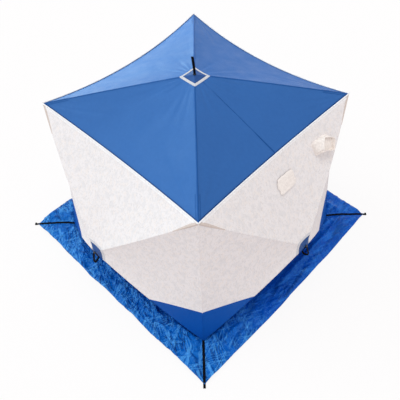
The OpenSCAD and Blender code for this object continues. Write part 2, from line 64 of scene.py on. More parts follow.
# Sizes that the CAD model has too.
BASE_HALF = 1.05
TOP_HALF = 0.995
EAVE_H = 1.88
PEAK_H = 2.162
HUB_H = 0.89
HUB_OUT = 0.37
EAVE_PULL = 0.061
EAVE_DIP = 0.08
CORNER_PULL = 0.059
WALL_BOW = 0.02
ROOF_BOW = 0.008
PULL_FADE = 1.5
SEAM_H = -0.5
FABRIC = 0.004
PATCH_HALF = 0.0975
BINDING = 0.025
PATCH_T = 0.002
SKIRT_IN = 1.056
SKIRT_HALF = 1.36
STRAP_W = 0.022
ANCHOR_REACH = 0.038
DOOR_INSET = 0.19
DOOR_MARGIN = 0.164
DOOR_ROUND = 0.07
DOOR_STEPS = 6
ZIP_GAP = 0.004
ZIP_T = 0.002
VENT_W = 0.19
VENT_LEN = 0.14
VENT_MARGIN = 0.03
FAR_VENT = (0.505, 1.66)
MIDDLE_VENT = (0.02, 1.59)
FAR_VENT_OUT = 0.1

# The walls by their quarter turns from the front; the roof counts as one more.
SIDES = ("front", "right", "back", "left")
RIGHT, BACK, ROOF = 1, 2, 4

ROOT2 = sqrt(2)
WALL_HALF = TOP_HALF + (BASE_HALF - TOP_HALF) * (1 - HUB_H / EAVE_H)
WALL_HUB = np.array([0.0, -(WALL_HALF + HUB_OUT), HUB_H])
PEAK = np.array([0.0, 0.0, PEAK_H])
UPPER_L = np.array([-TOP_HALF, -TOP_HALF, EAVE_H])
UPPER_R = np.array([TOP_HALF, -TOP_HALF, EAVE_H])
LOWER_L = np.array([-BASE_HALF, -BASE_HALF, 0.0])
LOWER_R = np.array([BASE_HALF, -BASE_HALF, 0.0])
EAVE_DRAW = np.array([0.0, EAVE_PULL, -EAVE_DIP])
CORNER_DRAW = CORNER_PULL / ROOT2
WALL_OUT = np.array([0.0, -1.0, 0.0])
UP = np.array([0.0, 0.0, 1.0])

# Thickness of the cloth that shows, cells along a wall or roof panel, where a roof panel starts at its tip,
# and the size of a skirt cell.
CLOTH = 0.0016
WALL_CELLS = 100
ROOF_ROWS = 60
ROOF_TIP = 0.004
SKIRT_CELL = 0.006


# The tent's surface.

def unit(v):
    """A vector, or each of several, at length 1."""
    return v / np.linalg.norm(v, axis=-1, keepdims=True)


def columns(*values):
    """Points from their coordinates; a plain number counts for every point."""
    return np.stack(np.broadcast_arrays(*values), axis=1)


def grid(u, v):
    """Every pair of two runs of values, as two flat arrays."""
    return [g.ravel() for g in np.meshgrid(u, v)]


def circle(count):
    """Angles round a full turn."""
    return np.linspace(0, 2 * pi, count, endpoint=False)


def arc_point(a, b, n, s, u):
    """Points at u on an arc from a to b that bulges by s toward n."""
    c = np.linalg.norm(b - a)
    d = (b - a) / c
    m = unit(n - d * (n @ d))
    r = (c * c / 4 + s * s) / (2 * s)
    t = (2 * u - 1) * asin(c / 2 / r)
    return (a + b) / 2 + np.outer(np.sin(t), d) * r + np.outer(r * np.cos(t) - r + s, m)


def facet(hub, c0, c1, draw, out, bow, u, v):
    """Points of a stretched triangle: v runs from the hub to the edge, u along the edge."""
    a = arc_point(hub, c0, out, bow, v)
    b = arc_point(hub, c1, out, bow, v)
    bulge_a = a - hub - np.outer(v, c0 - hub)
    bulge_b = b - hub - np.outer(v, c1 - hub)
    k = (4 * u * (1 - u))[:, None]
    w = u[:, None]
    pull = draw * k * (v ** PULL_FADE)[:, None]
    return a + (b - a) * w - (bulge_a * (1 - w) + bulge_b * w) * k + pull


def wall_points(s, h):
    """Points of the front wall: s runs across and h up, both from -1 to 1 with the hub at 0."""
    s = np.asarray(s, float).ravel()
    h = np.asarray(h, float).ravel()
    v = np.maximum(np.maximum(np.abs(s), np.abs(h)), 1e-9)
    flat = np.abs(h) >= np.abs(s)
    points = np.empty((len(s), 3))
    kinds = (
        (flat & (h > 0), UPPER_L, UPPER_R, EAVE_DRAW, s),
        (flat & (h <= 0), LOWER_L, LOWER_R, np.zeros(3), s),
        (~flat & (s < 0), LOWER_L, UPPER_L, np.array([CORNER_DRAW, CORNER_DRAW, 0.0]), h),
        (~flat & (s >= 0), LOWER_R, UPPER_R, np.array([-CORNER_DRAW, CORNER_DRAW, 0.0]), h),
    )
    for mask, c0, c1, draw, edge in kinds:
        u = (edge[mask] / v[mask] + 1) / 2
        points[mask] = facet(WALL_HUB, c0, c1, draw, WALL_OUT, WALL_BOW, u, v[mask])
    return points


def roof_points(u, v):
    """Points of the roof panel over the front wall."""
    u = np.asarray(u, float).ravel()
    v = np.asarray(v, float).ravel()
    return facet(PEAK, UPPER_L, UPPER_R, EAVE_DRAW, UP, ROOF_BOW, u, v)


def raised(p, t):
    """Points of the inner surface moved out through t of cloth."""
    side = 1 + t / BASE_HALF
    return columns(p[:, 0] * side, p[:, 1] * side, p[:, 2] * (1 + t / PEAK_H))


def turned(p, q):
    """Points turned by q quarter turns, from the front wall to wall q."""
    for _ in range(q % 4):
        p = columns(-p[:, 1], p[:, 0], p[:, 2])
    return p


def on_wall(q, s, h, lift=0.0):
    """Points at a height over the outer face of wall q."""
    return turned(raised(wall_points(s, h), FABRIC + lift), q)


def on_roof(q, u, v, lift=0.0):
    """Points at a height over the outer face of the roof panel above wall q."""
    return turned(raised(roof_points(u, v), FABRIC + lift), q)


def outward(q):
    """The way out of wall q or of the roof."""
    return UP if q == ROOF else turned(WALL_OUT[None], q)[0]


def wall_place(x, z):
    """The s and h of the wall's point at a given x and height, found by repeated correction."""
    s = x
    h = (z - HUB_H) / 0.95
    for _ in range(12):
        p = wall_points(s, h)
        s = s + (x - p[:, 0]) / 1.02
        h = h + (z - p[:, 2]) / 0.98
    return s, h


# Repeatable noise.

def lattice(ix, iy, seed):
    """Values from 0 to 1 at whole numbers, always the same for a seed."""
    n = np.sin(ix * 127.1 + iy * 311.7 + seed * 74.7) * 43758.5453
    return n - np.floor(n)


def value_noise(x, y, seed):
    """Smooth noise from -1 to 1."""
    ix, iy = np.floor(x), np.floor(y)
    fx, fy = (t * t * t * (t * (t * 6 - 15) + 10) for t in (x - ix, y - iy))
    low = lattice(ix, iy, seed) * (1 - fx) + lattice(ix + 1, iy, seed) * fx
    high = lattice(ix, iy + 1, seed) * (1 - fx) + lattice(ix + 1, iy + 1, seed) * fx
    return 2 * (low * (1 - fy) + high * fy) - 1


def fractal(x, y, seed, octaves=3):
    """Smooth noise in several sizes."""
    return sum(value_noise(x * 2 ** k, y * 2 ** k, seed + k) * 0.5 ** k for k in range(octaves))


def creased(x, y, seed, octaves=3):
    """Noise with sharp crests, from 0 to about 1."""
    return sum((1 - np.abs(value_noise(x * 2 ** k, y * 2 ** k, seed + k))) ** 2 * 0.5 ** (k + 1)
               for k in range(octaves))


def ease(x, a, b):
    """Smooth step from 0 at a to 1 at b."""
    t = np.clip((np.asarray(x, float) - a) / (b - a), 0, 1)
    return t * t * (3 - 2 * t)


# Meshes. A shape is a pair of vertices and faces.

def linked(name, data):
    """A new object in the scene."""
    made = bpy.data.objects.new(name, data)
    bpy.context.scene.collection.objects.link(made)
    return made


def new_mesh(name, shape, material):
    """A mesh with one material."""
    verts, faces = shape
    mesh = bpy.data.meshes.new(name)
    mesh.from_pydata(np.asarray(verts).tolist(), [], [list(map(int, f)) for f in faces])
    mesh.materials.append(material)
    return mesh


def new_piece(name, shape, material, uv=None, axes=None, stands_for=None, sharp=40):
    """A piece that rides on the tent, smooth where its faces meet at less than an angle.

    Its mapping is uv, for each layer of a sheet, or two axes of its own coordinates.
    """
    mesh = new_mesh(name, shape, material)
    count = len(shape[0])
    if axes is not None:
        uv = shape[0][:, axes]
    if uv is not None:
        layer = mesh.uv_layers.new(name="UVMap")
        index = np.empty(len(mesh.loops), dtype=np.int32)
        mesh.loops.foreach_get("vertex_index", index)
        uv = np.tile(np.asarray(uv, dtype=np.float32), (count // len(uv), 1))
        layer.uv.foreach_set("vector", uv[index].ravel())
    mesh.polygons.foreach_set("use_smooth", np.ones(len(mesh.polygons), dtype=bool))
    mesh.set_sharp_from_angle(angle=radians(sharp))
    mesh.validate()
    piece = linked(name, mesh)
    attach(piece, "root")
    if stands_for:
        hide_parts(stands_for)
    return piece


def closed_shell(outer, inner, tris):
    """A sheet with two faces, closed round its borders."""
    n = len(outer)
    edges = np.concatenate([tris[:, [0, 1]], tris[:, [1, 2]], tris[:, [2, 0]]])
    _, first, count = np.unique(np.sort(edges, axis=1), axis=0, return_index=True, return_counts=True)
    a, b = edges[first[count == 1]].T
    sides = np.concatenate([columns(b, a, a + n), columns(b, a + n, b + n)])
    return np.concatenate([outer, inner]), np.concatenate([tris, tris[:, ::-1] + n, sides])


def grid_tris(rows, cols, rising=True):
    """Triangles of a grid, each cell split along its rising or falling diagonal."""
    j, i = np.meshgrid(np.arange(rows), np.arange(cols), indexing="ij")
    a = j * (cols + 1) + i
    b, c, d = a + 1, a + cols + 1, a + cols + 2
    pick = np.broadcast_to(rising, a.shape)[..., None]
    first = np.where(pick, np.stack([a, b, d], -1), np.stack([a, b, c], -1))
    second = np.where(pick, np.stack([a, d, c], -1), np.stack([b, d, c], -1))
    return np.concatenate([first.reshape(-1, 3), second.reshape(-1, 3)])


def tube(rings, closed=False):
    """A skin over a run of equal rings, with caps at both ends unless the run closes on itself."""
    rings = np.asarray(rings)
    n, m = rings.shape[:2]
    at = np.arange(n * m).reshape(n, m)
    here = at if closed else at[:-1]
    there = np.roll(at, -1, 0)[:len(here)]
    sides = np.stack([here, np.roll(here, -1, 1), np.roll(there, -1, 1), there], -1)
    faces = sides.reshape(-1, 4).tolist()
    if not closed:
        faces += [at[0, ::-1].tolist(), at[-1].tolist()]
    return rings.reshape(-1, 3), faces


def joined(parts):
    """One shape from several."""
    verts, faces, base = [], [], 0
    for v, f in parts:
        verts.append(v)
        faces.extend([k + base for k in face] for face in f)
        base += len(v)
    return np.concatenate(verts), faces


def bead(path, out, across, lift, rise, half, steps, closed=False):
    """A round bead along a path; rise and half are its half height and half width."""
    t = circle(steps)[:, None]
    out = np.broadcast_to(out, path.shape)[:, None]
    return tube(path[:, None] + out * (lift + rise * np.cos(t)) + across * half * np.sin(t), closed)


def along(path):
    """Distance along a path, and its unit tangents."""
    run = np.concatenate([[0], np.cumsum(np.linalg.norm(np.diff(path, axis=0), axis=1))])
    return run, unit(np.gradient(path, axis=0))


def resample(path, pitch):
    """Points at equal steps along a path."""
    run = along(path)[0]
    at = np.arange(pitch / 2, run[-1], pitch)
    return columns(*[np.interp(at, run, path[:, k]) for k in range(3)])


def ribbon(name, path, across, width, thick, stands_for=None):
    """Black webbing with rounded edges, swept along a path."""
    run, tangent = along(path)
    across = unit(across - tangent * np.sum(across * tangent, axis=1)[:, None])[:, None]
    out = np.cross(tangent, across[:, 0])[:, None]
    w, t = width / 2, thick / 2
    section = np.array([(-w, 0), (-w * 0.93, -t), (-w * 0.4, -t * 0.9), (w * 0.4, -t * 0.9), (w * 0.93, -t),
                        (w, 0), (w * 0.93, t), (w * 0.4, t * 0.9), (-w * 0.4, t * 0.9), (-w * 0.93, t)])
    shape = tube(path[:, None] + across * section[:, :1] + out * section[:, 1:])
    uv = [(x, r) for r in run for x in section[:, 0]]
    return new_piece(name, shape, WEBBING, uv, stands_for=stands_for, sharp=60)


STITCH_FACES = np.array([[0, 2, 1], [0, 3, 2], [0, 4, 3], [0, 1, 4],
                         [5, 1, 2], [5, 2, 3], [5, 3, 4], [5, 4, 1]])


def stitch_row(path, up, pitch=0.009, length=0.006, width=0.0013, height=0.0009):
    """A row of raised thread stitches along a path on a surface that faces up."""
    mid = resample(path, pitch)
    tangent = along(mid)[1]
    side = unit(np.cross(tangent, up)) * width / 2
    half = tangent * length / 2
    rise = up * height
    verts = np.stack([mid - half, mid + side, mid + rise, mid - side, mid - rise, mid + half], axis=1)
    faces = STITCH_FACES + 6 * np.arange(len(mid))[:, None, None]
    return verts.reshape(-1, 3), faces.reshape(-1, 3)


def cut(piece, rings, operation):
    """Cuts a piece by the closed block through a run of rings, and keeps the result in its mesh."""
    old = piece.data
    spent = new_mesh("cutter", tube(rings), old.materials[0])
    form = bmesh.new()
    form.from_mesh(spent)
    bmesh.ops.recalc_face_normals(form, faces=form.faces)
    form.to_mesh(spent)
    form.free()
    cutter = linked("cutter", spent)
    mod = piece.modifiers.new("cut", "BOOLEAN")
    mod.operation = operation
    mod.object = cutter
    mod.solver = "EXACT"
    graph = bpy.context.evaluated_depsgraph_get()
    mesh = bpy.data.meshes.new_from_object(piece.evaluated_get(graph))
    piece.modifiers.clear()
    piece.data = mesh
    mesh.set_sharp_from_angle(angle=radians(40))
    bpy.data.objects.remove(cutter)
    for gone in (old, spent):
        bpy.data.meshes.remove(gone)


# Materials.

class Nodes:
    """A node tree, with short ways to add to it."""

    def __init__(self, tree):
        self.tree = tree

    def feed(self, socket, value):
        """Links a socket into an input, or sets the input to a number, vector or colour."""
        if isinstance(value, bpy.types.NodeSocket):
            self.tree.links.new(value, socket)
        elif socket.type == "RGBA":
            socket.default_value = (*value[:3], 1)
        else:
            socket.default_value = value

    def add(self, kind, links=(), **values):
        """A node with its properties set; links are (input, socket or value) pairs."""
        made = self.tree.nodes.new("ShaderNode" + kind)
        for key, value in values.items():
            setattr(made, key, value)
        for key, value in links:
            self.feed(made.inputs[key], value)
        return made

    def ramp(self, source, low, high, to=(0.0, 1.0)):
        """A value stretched from low..high to another range."""
        ends = [("From Min", low), ("From Max", high), ("To Min", to[0]), ("To Max", to[1])]
        return self.add("MapRange", [("Value", source), *ends]).outputs["Result"]

    def mix(self, amount, a, b):
        return self.add("Mix", [(0, amount), (6, a), (7, b)], data_type="RGBA").outputs[2]

    def maths(self, operation, a, b=0.0):
        return self.add("Math", [(0, a), (1, b)], operation=operation).outputs[0]

    def times(self, a, b):
        return self.maths("MULTIPLY", a, b)

    def noise(self, where, scale, detail=3.0, rough=0.5):
        links = [("Vector", where), ("Scale", scale), ("Detail", detail), ("Roughness", rough)]
        return self.add("TexNoise", links).outputs["Fac"]

    def mapped(self, where, **values):
        """Coordinates with a Location, Rotation or Scale."""
        return self.add("Mapping", [("Vector", where), *values.items()]).outputs["Vector"]

    def spots(self, where, scale, detail, low, high):
        """Noise with its own scale along each axis, sharpened between two levels."""
        return self.ramp(self.noise(self.mapped(where, Scale=scale), 1, detail), low, high)

    def seen_directly(self):
        """1 for rays that show the background itself: seen, mirrored or through something clear."""
        path = self.add("LightPath").outputs
        both = self.maths("MAXIMUM", path["Is Camera Ray"], path["Is Glossy Ray"])
        return self.maths("MAXIMUM", both, path["Is Transmission Ray"])

    def blend_into(self, output, amount, a, b):
        """Mixes two shaders into the tree's output."""
        both = self.add("MixShader", [(0, amount), (1, a.outputs[0]), (2, b.outputs[0])])
        self.feed(self.add(output).inputs["Surface"], both.outputs[0])


class Surface(Nodes):
    """A material with one shader, its coordinates, and ways to paint and emboss it."""

    def __init__(self, name, colour, roughness, specular, tint=(1, 1, 1)):
        self.material = bpy.data.materials.new(name)
        self.material.use_nodes = True
        super().__init__(self.material.node_tree)
        self.inputs = self.tree.nodes["Principled BSDF"].inputs
        for key, value in (("Base Color", colour), ("Roughness", roughness),
                           ("Specular IOR Level", specular), ("Specular Tint", tint)):
            self.feed(self.inputs[key], value)
        where = self.add("TexCoord").outputs
        self.place, self.uv = where["Object"], where["UV"]

    def paint(self, amount, colour, below=None):
        """Lays a colour over what is there, or over another colour."""
        base = self.inputs["Base Color"]
        if below is None:
            below = base.links[0].from_socket if base.links else base.default_value
        self.feed(base, self.mix(amount, below, colour))

    def bump(self, height, strength, distance):
        normal = self.inputs["Normal"]
        links = [("Height", height), ("Strength", strength), ("Distance", distance)]
        if normal.links:
            links.append(("Normal", normal.links[0].from_socket))
        self.feed(normal, self.add("Bump", links).outputs[0])

    def waves(self, *pitches):
        """Ripples along the two directions of the mapping."""
        split = self.add("SeparateXYZ", [(0, self.uv)]).outputs
        return [self.maths("SINE", self.times(split[k], 2 * pi / pitch)) for k, pitch in enumerate(pitches)]

    def weave(self, pitch):
        """Height of a plain weave, from the two directions of its yarns."""
        return self.times(*self.waves(pitch, pitch))


def coated_cloth(name, colour, dark, roughness, specular, tint, crease):
    """Blue coated cloth: slight patches of tone, fine creases and a plain weave."""
    cloth = Surface(name, colour, roughness, specular, tint)
    tone = cloth.ramp(cloth.noise(cloth.place, 2.3, 4), 0.32, 0.72)
    fine = cloth.ramp(cloth.noise(cloth.mapped(cloth.place, Scale=(1, 1, 0.35)), 34, 2), 0.3, 0.75)
    cloth.paint(cloth.times(cloth.maths("ADD", tone, fine), 0.5), colour, dark)
    rough = cloth.ramp(cloth.noise(cloth.place, 9, 3), 0.3, 0.7, (roughness - 0.06, roughness + 0.06))
    cloth.feed(cloth.inputs["Roughness"], rough)
    cloth.bump(cloth.noise(cloth.place, 42, 4, 0.6), crease, 0.004)
    cloth.bump(cloth.weave(0.0016), 0.25, 0.0002)
    return cloth


def crinkle(cloth, pale, deep, smooth, streak_highlight):
    """Adds creases painted as highlight and shade; the right and back sides are smoother, in painted shade,
    with painted streaks.
    """
    split = cloth.add("SeparateXYZ", [(0, cloth.place)]).outputs
    toward = cloth.maths("MAXIMUM", cloth.ramp(split[0], -0.5, -1.1), cloth.ramp(split[1], -0.3, -1.2))
    away = cloth.times(cloth.maths("SUBTRACT", 1.0, toward), 0.75)
    # The right and back sides are painted a deeper blue: painted shade.
    cloth.paint(away, smooth)
    amount = cloth.maths("ADD", cloth.times(toward, 0.85), 0.15)
    # The way each layer of creases runs, its scale across and along them, its painted highlight or shade
    # colour and strength.
    for turn, scale, colour, share in ((2.0, (33, 2.6, 9), pale, 0.90), (2.15, (28, 2.4, 9), deep, 0.85),
                                       (2.6, (36, 3.2, 9), pale, 0.85), (1.65, (30, 3.0, 9), deep, 0.80),
                                       (2.9, (32, 3.0, 9), pale, 0.75), (0.5, (36, 3.6, 9), pale, 0.70)):
        way = cloth.mapped(cloth.place, Rotation=(0, 0, turn), Location=(turn, scale[0], turn))
        links = [("Vector", cloth.mapped(way, Scale=scale)), ("Scale", 1.0), ("Detail", 0.0),
                 ("Offset", 1.0), ("Distortion", 0.08)]
        sharp = cloth.add("TexNoise", links, noise_type="RIDGED_MULTIFRACTAL", normalize=False)
        height = cloth.times(sharp.outputs["Fac"], cloth.spots(way, (11, 4.5, 9), 1, 0.40, 0.57))
        # The crests of each layer are painted in its highlight or shade colour.
        cloth.paint(cloth.times(cloth.ramp(height, 0.64, 0.94), cloth.times(amount, share)), colour)
        cloth.bump(cloth.times(height, amount), 0.7, 0.008)
    # The way each layer of streaks runs, its scale and its painted highlight or shade colour.
    for turn, scale, colour in ((0.12, (22, 2.6, 9), streak_highlight), (-0.14, (17, 2.2, 9), deep),
                                (0.3, (30, 5, 9), streak_highlight)):
        way = cloth.mapped(cloth.place, Rotation=(0, 0, turn))
        # Streaks of painted highlight and shade on the right and back sides.
        cloth.paint(cloth.times(cloth.spots(way, scale, 2, 0.54, 0.70), away), colour)


def camouflage_cloth(name):
    """Matt near-white cloth with a faint, fine print of pale grey and warm stems and specks."""
    cloth = Surface(name, (0.855, 0.825, 0.825), 0.75, 0.2)
    stir = cloth.add("TexNoise", [("Vector", cloth.place), ("Scale", 9.0)]).outputs["Color"]
    shift = cloth.mapped(stir, Scale=(0.07, 0.07, 0.07))
    bent = cloth.add("VectorMath", [(0, cloth.place), (1, shift)], operation="ADD").outputs[0]
    # Patches, warm patches, stems and specks: scale, detail, both levels, strength and colour.
    for where, scale, detail, low, high, share, colour in (
            (bent, (26, 26, 17), 4, 0.46, 0.60, 0.9, (0.775, 0.755, 0.762)),
            (bent, (40, 40, 20), 3, 0.50, 0.64, 0.8, (0.865, 0.81, 0.78)),
            (bent, (85, 85, 18), 3, 0.55, 0.66, 0.7, (0.71, 0.68, 0.675)),
            (cloth.place, (140, 140, 90), 2, 0.56, 0.68, 0.5, (0.69, 0.66, 0.65))):
        cloth.paint(cloth.times(cloth.spots(where, scale, detail, low, high), share), colour)
    cloth.bump(cloth.noise(cloth.place, 26, 3), 0.12, 0.004)
    cloth.bump(cloth.weave(0.0014), 0.25, 0.0002)
    return cloth.material


def plain_cloth(name, colour, roughness=0.7):
    """Cloth or thread of one colour with a slightly darker mottle and a fine weave."""
    cloth = Surface(name, colour, roughness, 0.25)
    cloth.paint(cloth.ramp(cloth.noise(cloth.place, 60, 3), 0.3, 0.7), colour, [c * 0.86 for c in colour])
    cloth.bump(cloth.weave(0.0012), 0.3, 0.0002)
    return cloth.material


def webbing_cloth(name):
    """Black webbing with its ribs across and fine yarns along."""
    cloth = Surface(name, (0.003, 0.003, 0.005), 0.7, 0.06)
    yarns, ribs = cloth.waves(0.0035, 0.0022)
    cloth.paint(cloth.ramp(cloth.noise(cloth.place, 120, 3), 0.55, 0.8), (0.008, 0.008, 0.011))
    cloth.bump(cloth.maths("ADD", ribs, cloth.times(yarns, 0.6)), 0.6, 0.0005)
    return cloth.material


def moulded_plastic(name, colour, roughness):
    """Black plastic with a fine grain and paler rubbed places."""
    skin = Surface(name, colour, roughness, 0.45)
    rough = skin.ramp(skin.noise(skin.place, 14, 3), 0, 1, (roughness - 0.1, roughness + 0.12))
    skin.feed(skin.inputs["Roughness"], rough)
    skin.paint(skin.ramp(skin.noise(skin.place, 55, 4), 0.6, 0.8), [c * 1.8 + 0.01 for c in colour])
    skin.bump(skin.noise(skin.place, 420, 2), 0.15, 0.0005)
    return skin.material


def pole_fibre(name):
    """Dark glass fibre with faint lengthwise strands."""
    rod = Surface(name, (0.03, 0.031, 0.033), 0.38, 0.5)
    strands = rod.spots(rod.place, (160, 160, 22), 3, 0.4, 0.7)
    rod.paint(strands, (0.06, 0.06, 0.06))
    rod.bump(strands, 0.1, 0.0003)
    return rod.material


# Blue cloths: colour, its darker tone, roughness, specular level and tint, and depth of the fine creases.
ROOF_CLOTH, BAND_CLOTH, SKIRT_CLOTH, SEAM_CLOTH, HEM_SHADE_CLOTH, PATCH_CLOTH = (coated_cloth(*row) for row in (
    ("roof_cloth", (0.022, 0.112, 0.362), (0.018, 0.098, 0.327), 0.50, 0.40, (0.55, 0.80, 1.0), 0.08),
    ("band_cloth", (0.004, 0.087, 0.410), (0.003, 0.074, 0.365), 0.50, 0.12, (0.40, 0.70, 1.0), 0.10),
    ("skirt_cloth", (0.004, 0.138, 0.515), (0.002, 0.093, 0.420), 0.30, 0.30, (0.30, 0.70, 1.0), 0.60),
    # The seams are darker than the roof cloth: painted shade of the folds along them.
    ("roof_seam_cloth", (0.014, 0.085, 0.300), (0.011, 0.072, 0.260), 0.50, 0.20, (0.40, 0.70, 1.0), 0.05),
    # The hems are much darker than the roof: painted shade along the roof's edge.
    ("roof_hem_shade_cloth", (0.008, 0.050, 0.190), (0.006, 0.042, 0.160), 0.50, 0.20, (0.40, 0.70, 1.0), 0.05),
    ("patch_cloth", (0.020, 0.074, 0.255), (0.016, 0.062, 0.220), 0.50, 0.30, (0.50, 0.75, 1.0), 0.05)))
# The skirt's painted crease highlights, painted crease and streak shade, painted shade of the right and back
# sides, and painted streak highlights.
crinkle(SKIRT_CLOTH, (0.062, 0.30, 0.73), (0.001, 0.034, 0.20), (0.001, 0.055, 0.42), (0.015, 0.15, 0.60))
CAMO = camouflage_cloth("wall_cloth")
BAND_BLUE = BAND_CLOTH.material
SLEEVE_CREAM = plain_cloth("sleeve_cloth", (0.95, 0.885, 0.835))
# The pole pockets' darker beige is painted shade of the crease along each ridge below an upper corner.
POCKET_SHADE_BEIGE = plain_cloth("pocket_shade_cloth", (0.70, 0.605, 0.55))
PALE_TAPE = plain_cloth("pale_trim", (0.95, 0.945, 0.95), 0.55)
BINDING_GREY = plain_cloth("binding_tape", (0.66, 0.665, 0.70), 0.55)
DARK_THREAD = plain_cloth("dark_thread", (0.05, 0.045, 0.05))
BLUE_THREAD = plain_cloth("blue_thread", (0.008, 0.055, 0.20))
PALE_THREAD = plain_cloth("pale_thread", (0.62, 0.60, 0.60))
WEBBING = webbing_cloth("webbing")
HUB_PLASTIC = moulded_plastic("hub_plastic", (0.02, 0.02, 0.022), 0.45)
POLE_FIBRE = pole_fibre("pole_fibre")
ZIP_TAPE = webbing_cloth("zip_tape")


# Wall and roof panels.

# The cloth above and below the band seam: its lowest and highest h, material and slot.
UPPER_CLOTH = (SEAM_H, 1.0, CAMO, "wall_cloth")
LOWER_CLOTH = (-1.0, SEAM_H, BAND_BLUE, "band_cloth")


def wall_wrinkles(s, h, seed):
    """How far the wall cloth stands off its tight surface; nothing at ridges and seams."""
    a, b = np.abs(s), np.abs(h)
    v = np.maximum(a, b)
    across = 1 - np.minimum(a, b) / np.maximum(v, 1e-6)
    edge = ease(1 - v, 0.0, 0.06) * ease(np.abs(h - SEAM_H), 0.0, 0.05) * ease(v, 0.1, 0.17)
    soft = 0.0022 * fractal(s * 3.1, h * 3.1, seed, 3)
    spokes = 0.0016 * value_noise(np.arctan2(h, s) * 9, v * 2.2, seed + 7) * np.exp(-((v - 0.2) / 0.2) ** 2)
    corner = np.hypot(1 - a, 1 - b)
    turn = np.arctan2(1 - b, 1 - a)
    rays = 0.0022 * value_noise(turn * 7, corner * 2 + seed, seed + 3) * np.exp(-(corner / 0.4) ** 2)
    return (soft + spokes + rays) * edge * ease(across, 0.0, 0.25)


def thin_sheet(p, lift, q, tris):
    """A closed sheet of cloth that stands off the tight surface of side q."""
    return closed_shell(*[turned(raised(p, FABRIC + lift - t), q) for t in (0, CLOTH)], tris)


def wall_sheet(name, q, cloth, seed, stands_for, calm=None):
    """One wall panel above or below the band seam, as a thin closed sheet."""
    h0, h1, material, slot = cloth
    rows = int(round((h1 - h0) * WALL_CELLS / 2))
    ss, hh = np.meshgrid(np.linspace(-1, 1, WALL_CELLS + 1), np.linspace(h0, h1, rows + 1))
    s, h = ss.ravel(), hh.ravel()
    p = wall_points(s, h)
    lift = wall_wrinkles(s, h, seed)
    if calm:
        lift = lift * calm(p)
    rising = (ss[:-1, :-1] + ss[1:, 1:] < 0) == (hh[:-1, :-1] + hh[1:, 1:] < 0)
    shape = thin_sheet(p, lift, q, grid_tris(rows, WALL_CELLS, rising))
    uv = columns(p[:, 0], np.hypot(p[:, 2], p[:, 1] * 0.4))
    return new_piece(name, shape, material, uv, stands_for=stands_for)


def roof_sheet(side, q, seed):
    """One roof panel as a thin closed sheet, from a point at the hub to the eave."""
    u, v = grid(np.linspace(0, 1, WALL_CELLS + 1), np.linspace(0, 1, ROOF_ROWS + 1))
    v = np.maximum(v, ROOF_TIP)
    p = roof_points(u, v)
    x, y = p[:, 0], p[:, 1]
    edge = ease(1 - v, 0, 0.05) * ease(4 * u * (1 - u), 0, 0.3) * ease(v, 0.1, 0.18)
    soft = 0.0025 * fractal(x * 3.0, y * 3.0, seed, 3)
    spokes = 0.0022 * value_noise(u * 16, v * 2.0, seed + 4) * np.exp(-((v - 0.25) / 0.25) ** 2)
    corner = np.minimum(np.hypot(u, 1 - v), np.hypot(1 - u, 1 - v))
    turn = np.arctan2(1 - v, np.minimum(u, 1 - u))
    rays = 0.003 * value_noise(turn * 7, corner * 2, seed + 9) * np.exp(-(corner / 0.3) ** 2)
    shape = thin_sheet(p, (soft + spokes + rays) * edge, q, grid_tris(ROOF_ROWS, WALL_CELLS)[:, ::-1])
    name = "roof_" + side
    return new_piece(name + "_sheet", shape, ROOF_CLOTH.material, columns(x, y * 1.04),
                     stands_for=name + "_panel")


def make_panels():
    """The walls, bands and roof panels, with the vents and the door cut out, and the door itself."""
    for q, side in enumerate(SIDES):
        calm = door_calm if q == BACK else None
        wall = wall_sheet(side + "_wall_sheet", q, UPPER_CLOTH, 11 + q, side + "_wall", calm)
        band = wall_sheet(side + "_band_sheet", q, LOWER_CLOTH, 31 + q, side + "_wall_band", calm)
        roof = roof_sheet(side, q, 51 + q)
        if q == RIGHT:
            for vent in (FAR_VENT, MIDDLE_VENT):
                cut(wall, vent_hole(vent), "DIFFERENCE")
        if q == BACK:
            for panel in (wall, band):
                cut(panel, door_rings(DOOR_ROUND), "DIFFERENCE")
    flap = wall_sheet("door_flap_sheet", BACK, UPPER_CLOTH, 13, "door_flap", door_calm)
    foot = wall_sheet("door_foot_sheet", BACK, LOWER_CLOTH, 33, "door_flap_foot", door_calm)
    for panel in (flap, foot):
        cut(panel, door_rings(DOOR_ROUND - ZIP_GAP), "INTERSECT")


# Snow skirt.

SKIRT_T = 0.0014
SKIRT_LIFT = 0.0025
SKIRT_LEAST = 0.0022
MITRE_BLEND = 0.3
# Strength of the creases, waves of the hem, belly of the hem and strength of the long fold, by side.
SKIRT_CREASE = {"front": 1.25, "right": 0.6, "back": 0.8, "left": 1.2}
SKIRT_WAVE = {"front": 0.010, "right": 0.004, "back": 0.006, "left": 0.009}
SKIRT_BELLY = {"front": 0.006, "right": 0.022, "back": 0.018, "left": 0.010}
SKIRT_FOLD = {"front": 0.15, "right": 1.0, "back": 0.8, "left": 0.15}
# Creases: the way they run in degrees, how many fit in a metre, their height and a seed.
SKIRT_LAYERS = ((20, 9, 0.012, 33), (75, 13, 0.012, 41), (130, 18, 0.011, 47), (-10, 27, 0.009, 53),
                (50, 35, 0.0075, 59))


def skirt_side_mix(x, y, values):
    """A value per side, blended over the mitres so that neighbouring sides meet."""
    t = np.clip((np.abs(y) - np.abs(x)) / MITRE_BLEND, -1, 1)
    along_y = np.where(y < 0, values["front"], values["back"])
    along_x = np.where(x > 0, values["right"], values["left"])
    return (along_y * (1 + t) + along_x * (1 - t)) / 2


